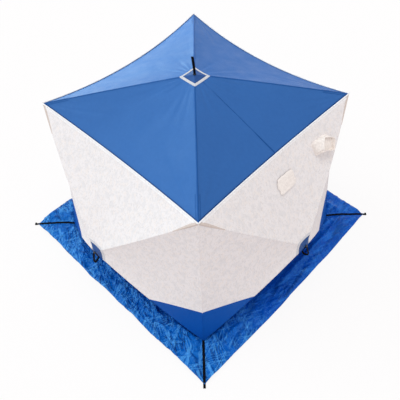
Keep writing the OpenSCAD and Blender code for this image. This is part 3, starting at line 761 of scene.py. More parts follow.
def skirt_height(x, y):
    """Height of the crumpled skirt over the ground at a place."""
    ax, ay = np.abs(x), np.abs(y)
    far = np.maximum(ax, ay)
    near = far - SKIRT_IN
    amount = skirt_side_mix(x, y, SKIRT_CREASE)
    bend_x = x + 0.03 * fractal(x * 6, y * 6, 5)
    bend_y = y + 0.03 * fractal(x * 6, y * 6, 9)
    crumple = 0.012 * (0.5 + 0.5 * fractal(bend_x * 4.5, bend_y * 4.5, 21, 2))
    for turn, fine, height, seed in SKIRT_LAYERS:
        c, s = cos(radians(turn)), sin(radians(turn))
        over = (bend_x * c + bend_y * s) * fine
        down = (bend_y * c - bend_x * s) * fine * 0.42
        crumple = crumple + amount * height * (1 - np.abs(value_noise(over, down, seed)) ** 0.8)
    tug = np.hypot(ax - SKIRT_IN, ay - SKIRT_IN)
    ray = np.arctan2(ay - SKIRT_IN, ax - SKIRT_IN)
    rays = 0.018 * creased(ray * 2.6, tug * 1.5, 61, 2) * np.exp(-(tug / 0.42) ** 2) * ease(tug, 0.02, 0.12)
    fold = 0.028 * np.exp(-((near - 0.13 - 0.03 * value_noise(y * 1.4, x * 0, 71)) / 0.03) ** 2)
    fold = fold * skirt_side_mix(x, y, SKIRT_FOLD) * ease(value_noise(y * 1.1 + 0.3, x * 1.1, 75), -0.5, 0.3)
    strap = 0.3 + 0.7 * ease(np.abs(ax - ay) / ROOT2, 0.012, 0.07)
    lift = SKIRT_LIFT + (crumple + rays + fold) * ease(near, -0.004, 0.06) * strap
    ground = 0.35 + 0.65 * ease(SKIRT_HALF + 0.02 - far, -0.03, 0.05)
    return np.maximum(lift * ground, SKIRT_LEAST)


def make_skirt():
    """The four mitred sides of crumpled cloth on the snow."""
    cols = int(2 * SKIRT_HALF / SKIRT_CELL)
    rows = int((SKIRT_HALF + max(SKIRT_BELLY.values()) - SKIRT_IN) / SKIRT_CELL)
    a, r = grid(np.linspace(-1, 1, cols + 1), np.linspace(0, 1, rows + 1))
    for q, side in enumerate(SIDES):
        wave = SKIRT_WAVE[side] * fractal(a * 4.3, a * 0 + q, 83, 2) * (1 - a ** 8)
        far = SKIRT_HALF + SKIRT_BELLY[side] * (1 - a * a) + wave
        x = a * (SKIRT_IN + (SKIRT_HALF - SKIRT_IN) * r)
        y = -(SKIRT_IN + (far - SKIRT_IN) * r)
        top = turned(columns(x, y, 0.0), q)
        top[:, 2] = skirt_height(top[:, 0], top[:, 1])
        shape = closed_shell(top, top - SKIRT_T * UP, grid_tris(rows, cols)[:, ::-1])
        piece = new_piece(side + "_skirt_sheet", shape, SKIRT_CLOTH.material, columns(x, y),
                          stands_for=side + "_skirt", sharp=70)


# Webbing.

WEBBING_T = 0.0022
ANCHOR_W = 0.025
# Height of a corner strap past the hem, and the radius of its eye and its place before the strap's end.
ANCHOR_LIFT = 0.0030
EYE_R = 0.0095
EYE_INSET = 0.011
CAP_R = 0.010
CAP_H = 0.0133
# The wall loops' turn about the upright, the middle and radius of their round end below the hub, how far
# they stand off it, and how far their sides bow and sway.
LOOP_TURN = radians(15)
LOOP_MID = -0.104
LOOP_R = 0.0345
LOOP_OFF = 0.0062
LOOP_BOW = 0.0035
LOOP_SWAY = 0.003
# The roof strap's height, the radius of its bend, how far and how fast it sways, and how far it leans.
MAST_H = 0.190
MAST_R = 0.0075
MAST_SWAY = 0.004
MAST_RATE = 14
MAST_LEAN = -0.014


def make_corner_straps():
    """A strap over each skirt corner, from the tent's foot to an eye for an ice screw."""
    def outbound(d, z):
        """Points at a distance and a height along the front right diagonal."""
        return columns(d / ROOT2, -d / ROOT2, z)

    hem = SKIRT_HALF * ROOT2
    eye_at = hem + ANCHOR_REACH - EYE_INSET
    d = np.linspace(SKIRT_IN * ROOT2 - 0.012, eye_at, 70)
    past = ease(d, hem - 0.02, hem + 0.012)
    turn = np.radians(np.linspace(-90, 200, 30))
    eye = outbound(eye_at + np.cos(turn) * EYE_R, EYE_R + 0.0015 + np.sin(turn) * EYE_R)
    beside = (-0.008, 0.008)
    for q, name in enumerate(("front_right", "back_right", "back_left", "front_left")):
        x, y, _ = turned(outbound(d, 0.0), q).T
        over = np.max([skirt_height(x + a, y + b) for a in beside for b in beside], axis=0) + WEBBING_T
        over = over * (1 - past) + past * ANCHOR_LIFT
        over = np.convolve(np.pad(over, 3, mode="edge"), np.ones(7) / 7, mode="valid")
        path = turned(np.concatenate([outbound(d, over)[:-1], eye]), q)
        across = turned(np.array([[1.0, 1.0, 0.0]]), q)[0]
        strap = ribbon(name + "_strap", path, across, ANCHOR_W, WEBBING_T, name + "_corner_strap")


def make_cap(name, seat, axis, q=0):
    """A round moulded cap over a hub's bolt, turned about an axis."""
    bend = 0.0035
    arc = [(CAP_R - bend + bend * cos(a), CAP_H - bend + bend * sin(a)) for a in np.linspace(0, pi / 2, 7)]
    foot = [(CAP_R + 0.004, 0.0), (CAP_R + 0.004, 0.0018), (CAP_R + 0.0008, 0.0026)]
    dish = [(CAP_R * 0.55, CAP_H), (CAP_R * 0.48, CAP_H - 0.0016), (0.0004, CAP_H - 0.0016)]
    r, h = np.array(foot + arc + dish).T[:, :, None, None]
    side = unit(np.cross(axis, [0.3, 0.9, 0.2]))
    t = circle(48)[:, None]
    verts, faces = tube(seat + axis * h + (side * np.cos(t) + np.cross(axis, side) * np.sin(t)) * r)
    new_piece(name, (turned(verts, q), faces), HUB_PLASTIC, sharp=50)


def drop_path(mid, r):
    """A drop as across and up: a round end below two straight sides that meet in a point at the origin."""
    b = asin(r / -mid)
    sweep = np.linspace(-b, -pi + b, 60)
    arc = columns(r * np.cos(sweep), mid + r * np.sin(sweep))
    down = np.linspace((0.0015, -0.004), arc[0], 22)
    up = np.linspace(arc[-1], (-0.0015, -0.004), 22)
    return np.concatenate([down[:-1], arc, up[1:]]).T


def make_pull_loops():
    """The capped loop on each wall hub and the upright strap on the roof hub."""
    seat = raised(WALL_HUB[None], FABRIC + PATCH_T)[0]
    side, up = drop_path(LOOP_MID, LOOP_R)
    across = np.array([cos(LOOP_TURN), sin(LOOP_TURN), 0.0])
    wide = np.array([-sin(LOOP_TURN), cos(LOOP_TURN), 0.0])
    side = side + LOOP_BOW * np.sign(side) * np.sin(np.clip(-up / 0.09, 0, 1) * pi)
    path = seat + LOOP_OFF * WALL_OUT + np.outer(side, wide) + np.outer(up, UP)
    path[:, 0] += LOOP_SWAY * np.sin(up * 40)
    for q, name in enumerate(SIDES):
        loop = ribbon(name + "_loop", turned(path, q), turned(across[None], q)[0], STRAP_W, 0.0042,
                      name + "_pull_loop")
        make_cap(name + "_hub_cap", seat, WALL_OUT, q)
    make_roof_strap(raised(PEAK[None], FABRIC + PATCH_T)[0] + 0.0003 * UP)


def make_roof_strap(seat):
    """A doubled strap that stands on the roof's cap, swaying and leaning a little."""
    top = MAST_H - MAST_R
    rise = np.linspace(0.004, top, 40)
    sway = MAST_SWAY * np.sin(rise * MAST_RATE)
    sweep = np.linspace(0, pi, 24)[1:-1]
    bend = columns(sway[-1] - MAST_R * np.cos(sweep), top + MAST_R * np.sin(sweep))
    side, up = np.concatenate([columns(sway - MAST_R, rise), bend, columns(sway + MAST_R, rise)[::-1]]).T
    across = unit(np.array([1.0, 1.0, 0.0]))
    lean = MAST_LEAN * (up / MAST_H) ** 1.6
    along_side = unit(np.array([1.0, -1.0, 0.0]))
    path = seat + np.outer(side, along_side) + np.outer(lean, across) + np.outer(up, UP)
    strap = ribbon("roof_strap", path, across, STRAP_W, 0.0026, "roof_pull_strap")
    make_cap("roof_hub_cap", seat, UP)


# Hub patches.

def patch_point(q, a, b, lift):
    """Points on the cloth round a hub: a and b run over the patch in metres."""
    a, b = np.ravel(a), np.ravel(b)
    if q != ROOF:
        return on_wall(q, a / WALL_HALF, b / np.where(b > 0, EAVE_H - HUB_H, HUB_H), lift)
    points = np.empty((len(a), 3))
    sector = np.where(np.abs(b) >= np.abs(a), np.where(b < 0, 0, 2), np.where(a > 0, 1, 3))
    for k in range(4):
        mask = sector == k
        x, y, _ = turned(columns(a[mask], b[mask], 0.0), -k).T
        v = np.maximum(-y, 1e-6)
        points[mask] = on_roof(k, (x / v + 1) / 2, v / TOP_HALF, lift)
    return points


def make_patches():
    """The square of blue cloth on each hub."""
    cells = 24
    half = PATCH_HALF - BINDING + 0.004
    a, b = grid(*[np.linspace(-half, half, cells + 1)] * 2)
    for q, side in enumerate(SIDES + ("roof",)):
        top, low = (patch_point(q, a, b, lift) for lift in (PATCH_T - 0.0006, 0.0002))
        patch = new_piece(side + "_patch_sheet", closed_shell(top, low, grid_tris(cells, cells)),
                          PATCH_CLOTH.material, columns(a, b), stands_for=side + "_hub_patch")


def square_ring(half, steps, endpoint=False):
    """The four sides of a square, each as two coordinates."""
    t = np.linspace(-half, half, steps, endpoint=endpoint)
    edge = np.full(steps, half)
    return [(t, -edge), (edge, t), (-t, edge), (-edge, -t)]


def make_bindings():
    """The pale tape round each hub patch, and its stitches."""
    strips, stitches = [], []
    inner = PATCH_HALF - BINDING
    a, b = np.concatenate(square_ring(1.0, 48), axis=1)
    low, high = 0.0004, PATCH_T + 0.0004
    section = ((0.0, low), (0.06, high), (0.5, high * 0.92), (0.94, high), (1.0, low), (0.5, 0.0))
    for q in range(5):
        rings = []
        for f, lift in section:
            half = inner + BINDING * f
            rings.append(patch_point(q, a * half, b * half, lift))
        strips.append(tube(rings, closed=True))
        for side in square_ring(inner + 0.0015, 60, True):
            line = patch_point(q, *side, PATCH_T + 0.0006)
            stitches.append(stitch_row(line, outward(q), pitch=0.016, length=0.0115, width=0.0030,
                                       height=0.0012))
    new_piece("patch_bindings", joined(strips), BINDING_GREY, axes=[0, 2],
              stands_for="hub_patch_bindings")
    new_piece("patch_stitches", joined(stitches), DARK_THREAD)


# Seams. A place is a function of two coordinates on the cloth and a height over it.

STITCH_LIFT = 0.0013
ROOF_STITCH_LIFT = 0.0002
# Runs of the wall's ridge seams: up or down, start, end, points and the cloth they are sewn in.
RIDGE_RUNS = ((1, 0.1, 0.995, 90, "wall"), (-1, 0.1, 0.5, 45, "wall"), (-1, 0.5, 0.995, 45, "band"))
POCKET_SECTION = ((-1, 0.0002), (-0.9, 0.0022), (0, 0.0030), (0.9, 0.0022), (1, 0.0002), (0, -0.0004))


def strip(place, line, offset, width, section):
    """A low strip along a line; its section is pairs of a share of the half width and a lift."""
    wide = np.broadcast_to(width, len(line))[:, None] / 2
    rings = [place(*(line + offset * (f * wide)).T, lift) for f, lift in section]
    return tube(np.transpose(rings, (1, 0, 2)))


def seam_strip(place, line, offset, width=0.013, height=0.0014, lift=0.0):
    """A felled seam: a low flat strip whose section follows the cloth on both sides of a line."""
    section = ((-1, 0.0001), (-0.86, height), (0, height * 0.7), (0.86, height), (1, 0.0001), (0, -0.0006))
    return strip(place, line, offset, width, [(f, lift + h) for f, h in section])


def stitch_rows(place, line, shifts, lift, up):
    """Rows of stitches beside a line."""
    return [stitch_row(place(*(line + shift).T, lift), up) for shift in shifts]


def make_wall_seams():
    """Seams down the ridges and over the band, with their rows of stitches."""
    seams = {"wall": [], "band": []}
    stitches = {"wall": [], "band": []}
    for q in range(4):
        place = partial(on_wall, q)
        for rise, start, end, count, cloth in RIDGE_RUNS:
            v = np.linspace(start, end, count)
            for side in (1, -1):
                line = columns(side * v, rise * v)
                offset = np.array([1.0, -side * rise]) / ROOT2
                shifts = (offset * -0.0042, offset * 0.0042)
                seams[cloth].append(seam_strip(place, line, offset))
                stitches[cloth] += stitch_rows(place, line, shifts, STITCH_LIFT, outward(q))
        line = columns(np.linspace(-0.999, 0.999, 160), SEAM_H - 0.006)
        offset = np.array([0.0, 1.1])
        shifts = (offset * -0.0045, offset * 0.004)
        seams["band"].append(seam_strip(place, line, offset, width=0.012))
        stitches["band"] += stitch_rows(place, line, shifts, STITCH_LIFT, outward(q))
    for name, parts, material, slot in (
            ("wall_ridge_seams", seams["wall"], CAMO, "wall_cloth"),
            ("band_seams", seams["band"], BAND_BLUE, "band_cloth"),
            ("wall_stitches", stitches["wall"], PALE_THREAD, "wall_cloth"),
            ("band_stitches", stitches["band"], BLUE_THREAD, "band_cloth")):
        new_piece(name, joined(parts), material, axes=[0, 2])


def make_pole_pockets():
    """The sewn pockets over the pole ends at the upper corners of each wall, darker than the wall as painted
    shade of the crease there.
    """
    pockets, stitches = [], []
    v = np.linspace(0.80, 0.992, 40)
    wide = 0.010 + 0.024 * ease(v, 0.80, 0.94)
    for q in range(4):
        place = partial(on_wall, q)
        for side in (1, -1):
            line = columns(side * v, v)
            offset = np.array([1.0, -side]) / ROOT2
            pockets.append(strip(place, line, offset, wide, POCKET_SECTION))
            shifts = [offset * (f * wide / 2)[:, None] for f in (-0.8, 0.8)]
            stitches += stitch_rows(place, line, shifts, 0.0024, outward(q))
    # The pockets' darker beige is painted shade.
    new_piece("pole_pockets", joined(pockets), POCKET_SHADE_BEIGE, axes=[0, 2])
    new_piece("pocket_stitches", joined(stitches), PALE_THREAD)


def turned_shapes(shape):
    """A shape on all four sides."""
    return joined([(turned(shape[0], q), shape[1]) for q in range(4)])


def make_corner_seams():
    """A narrow bead down each upright corner where two walls are sewn together."""
    out = np.array([1.0, -1.0, 0.0]) / ROOT2
    across = np.array([1.0, 1.0, 0.0]) / ROOT2
    for name, h0, h1, material, slot in (("corner_seams", SEAM_H, 0.995, CAMO, "wall_cloth"),
                                         ("band_corner_seams", -0.985, SEAM_H, BAND_BLUE, "band_cloth")):
        path = on_wall(0, np.ones(60), np.linspace(h0, h1, 60))
        shape = bead(path, out, across, lift=0.0012, rise=0.0026, half=0.0034, steps=8)
        new_piece(name, turned_shapes(shape), material, axes=[0, 2])


def beside_ridge(q, a, v, lift):
    """Points on both roof panels beside the ridge that ends in the right corner of panel q."""
    u = 1 - np.abs(a) / np.maximum(2 * v * TOP_HALF, 1e-6) * ROOT2
    return np.where((a <= 0)[:, None], on_roof(q, u, v, lift), on_roof(q + 1, 1 - u, v, lift))


def make_roof_seams():
    """Seams down the roof's ridges, a cross seam from the hub to one eave, and the eave hems."""
    seams, hems, stitches = [], [], []
    across, down = np.array([1.0, 0.0]), np.array([0.0, 1.0])
    ridge = columns(0.0, np.linspace(0.075, 0.995, 90))
    tip = ridge[ridge[:, 1] > 0.83]
    for q in range(4):
        place = partial(beside_ridge, q)
        seams.append(seam_strip(place, ridge, across, width=0.016, height=0.0016))
        stitches += stitch_rows(place, ridge, (across * -0.011, across * 0.011), ROOF_STITCH_LIFT, UP)
        for k in (-0.021, 0.021):
            seams.append(seam_strip(place, tip + across * k, across, width=0.005))
        place = partial(on_roof, q)
        eave = columns(np.linspace(0.01, 0.99, 140), 0.0)
        stitches += stitch_rows(place, eave, (down * 0.988, down * 0.976), ROOF_STITCH_LIFT, UP)
        hem = columns(np.linspace(0.004, 0.996, 140), 0.9915)
        hems.append(seam_strip(place, hem, down, height=0.0012))
    v = np.linspace(0.1, 0.985, 90)
    line = columns(0.5 + 0.008 * v, v)
    place = partial(on_roof, RIGHT)
    seams.append(seam_strip(place, line, across / 2, width=0.011, height=0.0018, lift=0.0006))
    stitches += stitch_rows(place, line, (across * -0.0016, across * 0.0016), 0.0021, UP)
    # The seams' darker blue is painted shade.
    new_piece("roof_seams", joined(seams), SEAM_CLOTH.material, axes=[0, 1])
    # The hems' dark blue is painted shade along the roof's edge.
    new_piece("roof_hems", joined(hems), HEM_SHADE_CLOTH.material, axes=[0, 1])
    new_piece("roof_stitches", joined(stitches), BLUE_THREAD)


def make_piping():
    """Pale piping along the eaves, with its tape on the walls under it."""
    r = 0.006
    out, across = unit(np.array([0, -1.0, 1.0])), unit(np.array([0, 1.0, 1.0]))
    line = columns(np.linspace(-0.992, 0.992, 160), 0.9855)
    up = np.array([0.0, 1.0])
    tapes = [seam_strip(partial(on_wall, q), line, up, width=0.027, height=0.0016) for q in range(4)]
    new_piece("eave_tape", joined(tapes), PALE_TAPE, axes=[0, 1])
    path = on_roof(0, np.linspace(0, 1, 141), np.ones(141))
    shape = bead(path, out, across, lift=r * 0.9, rise=r, half=r, steps=10)
    new_piece("eave_bead", turned_shapes(shape), PALE_TAPE, axes=[0, 1],
              stands_for="eave_piping")


# Vents, in the upper facet of the right wall.

SLEEVE_T = 0.002
FAR_MOUTH = (0.150, 0.112)
VENT_STEPS = 72
FLAP_CELLS = 40


def vent_frame(x, z):
    """Middle and axes of a vent on the front wall: across, up the cloth and out."""
    h = (z + np.array([-0.5, 0.5]) * VENT_LEN - HUB_H) / (EAVE_H - HUB_H)
    ends = wall_points([x / TOP_HALF] * 2, h)
    rise = ends[1] - ends[0]
    up = unit(np.array([0.0, rise[1], rise[2]]))
    middle = raised(ends.mean(axis=0)[None], FABRIC)[0]
    return middle, np.array([1.0, 0.0, 0.0]), up, np.array([0.0, -up[2], up[1]])


def in_frame(axes, p):
    """Points from their places across, up and out of a vent's frame."""
    o, x, y, z = axes
    return o + np.outer(p[:, 0], x) + np.outer(p[:, 1], y) + np.outer(p[:, 2], z)


def vent_place(axes, p):
    """Points of a vent's frame on the right wall."""
    return turned(in_frame(axes, p), RIGHT)


def vent_tube(axes, rings, closed=False):
    """A skin over rings in a vent's frame."""
    return tube([vent_place(axes, r) for r in rings], closed)


def cloth_under(axes, x, y):
    """Height of the wall's outer face over the flat frame of a vent, found by repeated correction."""
    w = np.zeros_like(x)
    for _ in range(8):
        p = in_frame(axes, columns(x, y, w))
        s, h = wall_place(p[:, 0] / (1 + FABRIC / BASE_HALF), p[:, 2] / (1 + FABRIC / PEAK_H))
        w = w + (on_wall(0, s, h)[:, 1] - p[:, 1]) / axes[3][1] * 0.8
    return w


def signed_power(x, power):
    """A power of the size of x, with the sign of x."""
    return np.sign(x) * np.abs(x) ** power


def soft_square(w, l, count, power=5.0):
    """Angles and points round a rectangle with soft corners."""
    a = circle(count)
    return a, signed_power(np.cos(a), 2 / power) * w / 2, signed_power(np.sin(a), 2 / power) * l / 2


def vent_hole(place):
    """Rings of the block that cuts a vent's air hole."""
    _, x, y = soft_square(VENT_W - 2 * VENT_MARGIN, VENT_LEN - 2 * VENT_MARGIN, 40, 8.0)
    return [vent_place(vent_frame(*place), columns(x, y, z)) for z in (-0.05, 0.05)]


def sleeve_bend(x, y, z, t):
    """A ring of the open sleeve at t of its length, turned and shifted as the soft cloth hangs."""
    turn = -0.55 * t ** 1.3
    c, s = cos(turn), sin(turn)
    return columns(x * c - y * s + 0.022 * t * t, x * s + y * c + 0.006 * t, z)


def make_far_vent():
    """The open sleeve: soft cloth pulled out of the wall, with a hanging lower lip and a rolled hem."""
    axes = vent_frame(*FAR_VENT)
    a, x0, y0 = soft_square(VENT_W - 0.004, VENT_LEN - 0.004, VENT_STEPS, 9.0)
    _, x1, y1 = soft_square(*FAR_MOUTH, VENT_STEPS, 7.0)
    base = cloth_under(axes, x0, y0)
    down = 0.5 - 0.5 * np.sin(a)
    mouth = y1 - 0.006 * down
    outer, inner = [], []
    for t in np.linspace(0, 1, 26):
        k = ease(t, 0.0, 1.0) * 0.75 + 0.25 * t
        x = x0 * (1 - k) + x1 * k
        y = y0 * (1 - k) + mouth * k
        z = base * (1 - t) ** 2 + t * FAR_VENT_OUT * (0.95 + 0.12 * down)
        fold = 0.004 * fractal(a * 1.9, 0 * a + t * 2.2, 5, 2) * sin(pi * t) ** 0.7
        fold = fold - 0.008 * np.exp(-((a - 3.35 - 0.5 * t) / 0.2) ** 2) * sin(pi * t)
        size = np.hypot(x, y)
        x, y = x * (1 + fold / size), y * (1 + fold / size)
        outer.append(sleeve_bend(x, y, z, t))
        inner.append(sleeve_bend(x * (1 - SLEEVE_T / size), y * (1 - SLEEVE_T / size), z, t))
    rings = outer + inner[::-1]
    uv = columns(np.tile(a * 0.09, len(rings)), np.repeat(np.linspace(0, 0.2, len(rings)), VENT_STEPS))
    sleeve = new_piece("far_vent_cloth", vent_tube(axes, rings, closed=True), SLEEVE_CREAM, uv,
                       stands_for="far_vent_sleeve")
    x2, y2 = 0.3 * x0 + 0.7 * x1, 0.3 * y0 + 0.7 * mouth
    tucked = []
    for k in np.linspace(1, 0.03, 24):
        dip = 0.054 + 0.012 * k ** 3 + 0.006 * fractal(x1 * k * 28, y1 * k * 28, 14, 2) * (1 - k ** 4)
        tucked.append(sleeve_bend(x2 * k, y2 * k, dip, 0.64))
    under = [ring - CLOTH * UP for ring in tucked[::-1]]
    lining = new_piece("far_vent_lining", vent_tube(axes, tucked + under), SLEEVE_CREAM,
                       axes=[1, 2])
    rim = outer[-1]
    flare = columns(*unit(rim[:, :2] - rim[:, :2].mean(axis=0)).T, 0.0)
    verts, faces = bead(rim - 0.006 * UP, flare, UP, lift=0.0, rise=0.0034, half=0.007, steps=10,
                        closed=True)
    new_piece("far_vent_hem", (vent_place(axes, verts), faces), SLEEVE_CREAM, axes=[1, 2])


def make_middle_vent():
    """The folded sleeve: a low pouch with its loose end laid over it as a flap."""
    axes = vent_frame(*MIDDLE_VENT)
    _, x, y = soft_square(VENT_W - 0.006, VENT_LEN - 0.006, VENT_STEPS)
    base = cloth_under(axes, x, y)
    rings = []
    for r in np.linspace(1, 0.04, 22):
        rise = 0.010 * (1 - r ** 8) ** 0.5 + 0.002 * fractal(x * r * 30, y * r * 30, 3, 2) * (1 - r ** 4)
        rings.append(columns(x * r, y * r, base * r ** 2 + np.maximum(rise, 0.0)))
    under = [ring * (0.985, 0.985, 1.0) - CLOTH * UP for ring in rings[:0:-1]]
    pouch = new_piece("middle_vent_pouch", vent_tube(axes, rings + under), SLEEVE_CREAM,
                      axes=[1, 2], stands_for="middle_vent_sleeve")
    gx, gy = grid(*[np.linspace(-1, 1, FLAP_CELLS + 1)] * 2)
    x = gx * np.sqrt(1 - 0.30 * gy ** 2) * 0.111 - 0.012 + 0.010 * value_noise(gy * 2.3, gx, 28) + 0.003 * gy
    y = gy * np.sqrt(1 - 0.30 * gx ** 2) * 0.079 + 0.006 + 0.008 * value_noise(gx * 2.1, gy, 31)
    edge = np.maximum(np.abs(gx), np.abs(gy))
    z = 0.0125 + 0.003 * fractal(gx * 1.6, gy * 1.9, 8, 2) + 0.003 * (1 - gy) / 2
    z = z + 0.003 * creased(gx * 1.3 + gy, gy * 1.1 - gx, 18, 2)
    z = z - 0.003 * ease(edge, 0.86, 1.0) * (gy > -0.5)
    drop = np.maximum(ease(np.abs(x), 0.090, 0.118), ease(np.abs(y), 0.066, 0.084))
    z = z + (cloth_under(axes, x, y) + 0.0055 - z) * drop
    top, low = (vent_place(axes, columns(x, y, z - t)) for t in (0.0, SLEEVE_T))
    shape = closed_shell(top, low, grid_tris(FLAP_CELLS, FLAP_CELLS))
    flap = new_piece("middle_vent_flap", shape, SLEEVE_CREAM, columns(x, y))


# Door and zip, in the back wall.

SLIDER_HALF = 0.013
SLIDER_W = 0.0068
SLIDER_T = 0.0030
PULL_W = 0.011
PULL_LEN = 0.055
# The sliders' places, as shares of the way round the door.
SLIDERS = (("1", 0.735), ("2", 0.752))


def door_outline(r, steps=DOOR_STEPS):
    """Points round the door, as x and height on its wall."""
    rise = HUB_H / BASE_HALF
    climb = (EAVE_H - HUB_H) / TOP_HALF
    near_x = 2 * DOOR_INSET / (rise + climb)
    side = WALL_HALF - DOOR_MARGIN
    c = np.array([[near_x, HUB_H + (climb - rise) * near_x / 2],
                  [side, HUB_H + climb * side - DOOR_INSET],
                  [side, HUB_H - rise * side + DOOR_INSET]])
    d = np.roll(c, -1, 0) - c
    way = np.degrees(np.arctan2(d[:, 0], -d[:, 1]))
    points = []
    for i in range(3):
        turn = fmod(way[i] - way[i - 1] - 360, 360)
        a = np.radians(way[i - 1] + turn * np.arange(steps + 1) / steps)
        points.append(c[i] + columns(np.cos(a), np.sin(a)) * r)
    return np.concatenate(points)


def door_loop(r, steps, share):
    """Close points round the door, with each side of its outline cut into shares."""
    edge = door_outline(r, steps)
    ends = zip(edge, np.roll(edge, -1, 0))
    return np.concatenate([np.linspace(a, b, share, endpoint=False) for a, b in ends])


def door_rings(r):
    """Rings of the block that cuts the door."""
    x, z = door_outline(r).T
    return [turned(columns(x, y, z), BACK) for y in (-0.5, -2.0)]


def door_calm(p):
    """0 along the door's edge and 1 well away from it, so that both sides of the zip lie flat."""
    far = np.full(len(p), 9.0)
    for x, z in door_loop(DOOR_ROUND, 12, 30):
        far = np.minimum(far, np.hypot(p[:, 0] - x, p[:, 2] - z))
    return ease(far, 0.015, 0.11)


def make_zip():
    """Teeth along the middle of the zip tape, and two sliders with pulls."""
    x, z = door_loop(DOOR_ROUND - ZIP_GAP / 2, 16, 24).T
    path = on_wall(BACK, *wall_place(x, z), ZIP_T + 0.0004)
    path = np.concatenate([path, path[:1]])
    out = outward(BACK)
    teeth = stitch_row(path, out, pitch=0.0042, length=0.0036, width=0.0075, height=0.0014)
    new_piece("zip_teeth", teeth, HUB_PLASTIC, sharp=20)
    even = resample(path, 0.002)
    tangent = along(even)[1]
    d = np.linspace(-1, 1, 13)[:, None, None]
    wide = SLIDER_W * (1 - 0.22 * d) * (1 - d ** 8) ** 0.5 + 0.0008
    thick = SLIDER_T * (1 - d ** 6) ** 0.5 + 0.0006
    turn = circle(16)[:, None]
    fall = np.array([0.0, -0.25, -1.0])
    drop = np.linspace(0, 1, 20)
    for k, share in SLIDERS:
        at = int(share * len(even))
        o, way = even[at], tangent[at]
        side = unit(np.cross(way, out))
        up = np.cross(side, way)
        rings = (o + way * d * SLIDER_HALF + side * wide * signed_power(np.cos(turn), 0.5)
                 + up * (0.003 + thick * signed_power(np.sin(turn), 0.5)))
        new_piece("zip_slider_" + k, tube(rings), HUB_PLASTIC)
        hang = np.outer(drop * PULL_LEN, unit(fall - up * (fall @ up)))
        pull = o + up * 0.0068 + hang + np.outer(0.002 * np.sin(drop * 5), up)
        tab = ribbon("zip_pull_" + k, pull, np.cross(up, unit(fall)), PULL_W, WEBBING_T)


# CAD nodes that stay.

def dress_nodes():
    """Gives hubs, pole tips, poles and the zip tape their materials."""
    hubs = [side + "_hub" for side in SIDES] + ["roof_hub", "upper_pole_tips", "lower_pole_tips"]
    poles = [side + "_poles" for side in SIDES] + ["roof_poles"]
    for names, material in ((hubs, HUB_PLASTIC), (poles, POLE_FIBRE), (["door_zip"], ZIP_TAPE)):
        for name in names:
            slots = frame["nodes"][name].data.materials
            slots.clear()
            slots.append(material)


# Camera, floor and light.

CAMERA_AZ = radians(45.6485)
CAMERA_EL = radians(47.8720)
CAMERA_ROLL = radians(-2.2504)
CAMERA_DISTANCE = 5.59123
CAMERA_AIM = Vector((0.0011, 0.0011, 0.98999))
CAMERA_LENS = 48.005
CAMERA_SHIFT = (0.00431, -0.09132)
FLOOR_HALF = 30
FLOOR_COLOUR = (0.87, 0.80, 0.79)
FLOOR_GLOW = 0.86
WHITE = (1, 1, 1)
AMBIENT = 0.73
AMBIENT_TINT = (1.0, 0.963, 0.968)
# Broad suns: the way they come from, strength, angle and colour.
SUNS = (("key", Vector((0.12, -0.12, 0.985)), 0.94, 25, (0.95, 0.99, 1.0)),
        ("fill", Vector((-0.7, -0.4, 0.6)), 0.90, 45, (0.71, 0.92, 1.0)))
SHEEN_FROM = Vector((-0.93, 0.16, 0.33))
SHEEN_AIM = Vector((0, 0, 1.6))
SHEEN_DISTANCE = 7.0
SHEEN_SIZE = 4.6
SHEEN_POWER = 330
SHEEN_COLOUR = (0.66, 0.97, 1.0)


def make_camera():
    """The camera that was fitted to the photo."""
    right = Vector((cos(CAMERA_AZ), sin(CAMERA_AZ), 0))
    back = Vector((sin(CAMERA_AZ) * cos(CAMERA_EL), -cos(CAMERA_AZ) * cos(CAMERA_EL), sin(CAMERA_EL)))
    up = back.cross(right)
    c, s = cos(CAMERA_ROLL), sin(CAMERA_ROLL)
    axes = Matrix((right * c + up * s, up * c - right * s, back)).transposed()
    data = bpy.data.cameras.new("camera")
    data.lens = CAMERA_LENS
    data.sensor_width = 36.0
    data.shift_x, data.shift_y = CAMERA_SHIFT
    camera = linked("camera", data)
    camera.matrix_world = Matrix.Translation(CAMERA_AIM + back * CAMERA_DISTANCE) @ axes.to_4x4()
    bpy.context.scene.camera = camera


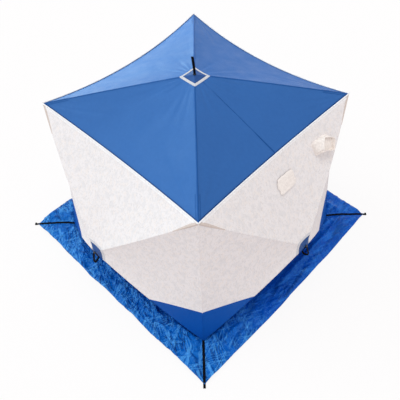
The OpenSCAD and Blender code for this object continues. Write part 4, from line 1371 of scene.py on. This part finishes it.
def make_floor():
    """A pale floor that looks white and keeps the tent's shadow."""
    material = bpy.data.materials.new("floor")
    material.use_nodes = True
    material.node_tree.nodes.clear()
    nodes = Nodes(material.node_tree)
    matt = nodes.add("BsdfDiffuse", [("Color", FLOOR_COLOUR)])
    white = nodes.add("Emission", [("Color", WHITE), ("Strength", 1.0)])
    nodes.blend_into("OutputMaterial", nodes.times(nodes.seen_directly(), FLOOR_GLOW), matt, white)
    corners = [(x * FLOOR_HALF, y * FLOOR_HALF, 0) for x, y in ((-1, -1), (1, -1), (1, 1), (-1, 1))]
    linked("floor", new_mesh("floor", (corners, [(0, 1, 2, 3)]), material))


def make_light():
    """Even light all round, two broad suns, and a low softbox for the roof's sheen, which is returned."""
    world = bpy.data.worlds.new("studio")
    bpy.context.scene.world = world
    world.use_nodes = True
    world.node_tree.nodes.clear()
    nodes = Nodes(world.node_tree)
    soft = nodes.add("Background", [("Color", AMBIENT_TINT), ("Strength", AMBIENT)])
    white = nodes.add("Background", [("Color", WHITE), ("Strength", 1.0)])
    nodes.blend_into("OutputWorld", nodes.seen_directly(), soft, white)
    for name, way, strength, spread, colour in SUNS:
        sun = bpy.data.lights.new(name, "SUN")
        sun.energy = strength
        sun.color = colour
        sun.angle = radians(spread)
        linked(name, sun).rotation_euler = way.to_track_quat("Z", "Y").to_euler()
    sheen = bpy.data.lights.new("sheen", "AREA")
    sheen.shape = "DISK"
    sheen.size = SHEEN_SIZE
    sheen.energy = SHEEN_POWER
    sheen.color = SHEEN_COLOUR
    softbox = linked("sheen", sheen)
    softbox.location = SHEEN_AIM + SHEEN_FROM.normalized() * SHEEN_DISTANCE
    softbox.rotation_euler = SHEEN_FROM.to_track_quat("Z", "Y").to_euler()
    return softbox


def light_roof_only(lamp):
    """Keeps the low softbox off the pale walls, which it would burn out."""
    roof = bpy.data.collections.new("roof_cloths")
    for piece in bpy.context.scene.objects:
        if piece.name.startswith("roof_") and piece.type == "MESH":
            roof.objects.link(piece)
    lamp.light_linking.receiver_collection = roof


bpy.context.scene.view_settings.view_transform = "Standard"
make_camera()
make_floor()
softbox = make_light()
make_panels()
make_far_vent()
make_middle_vent()
make_zip()
make_skirt()
make_corner_straps()
make_pull_loops()
make_patches()
make_bindings()
make_wall_seams()
make_pole_pockets()
make_corner_seams()
make_roof_seams()
make_piping()
dress_nodes()
light_roof_only(softbox)
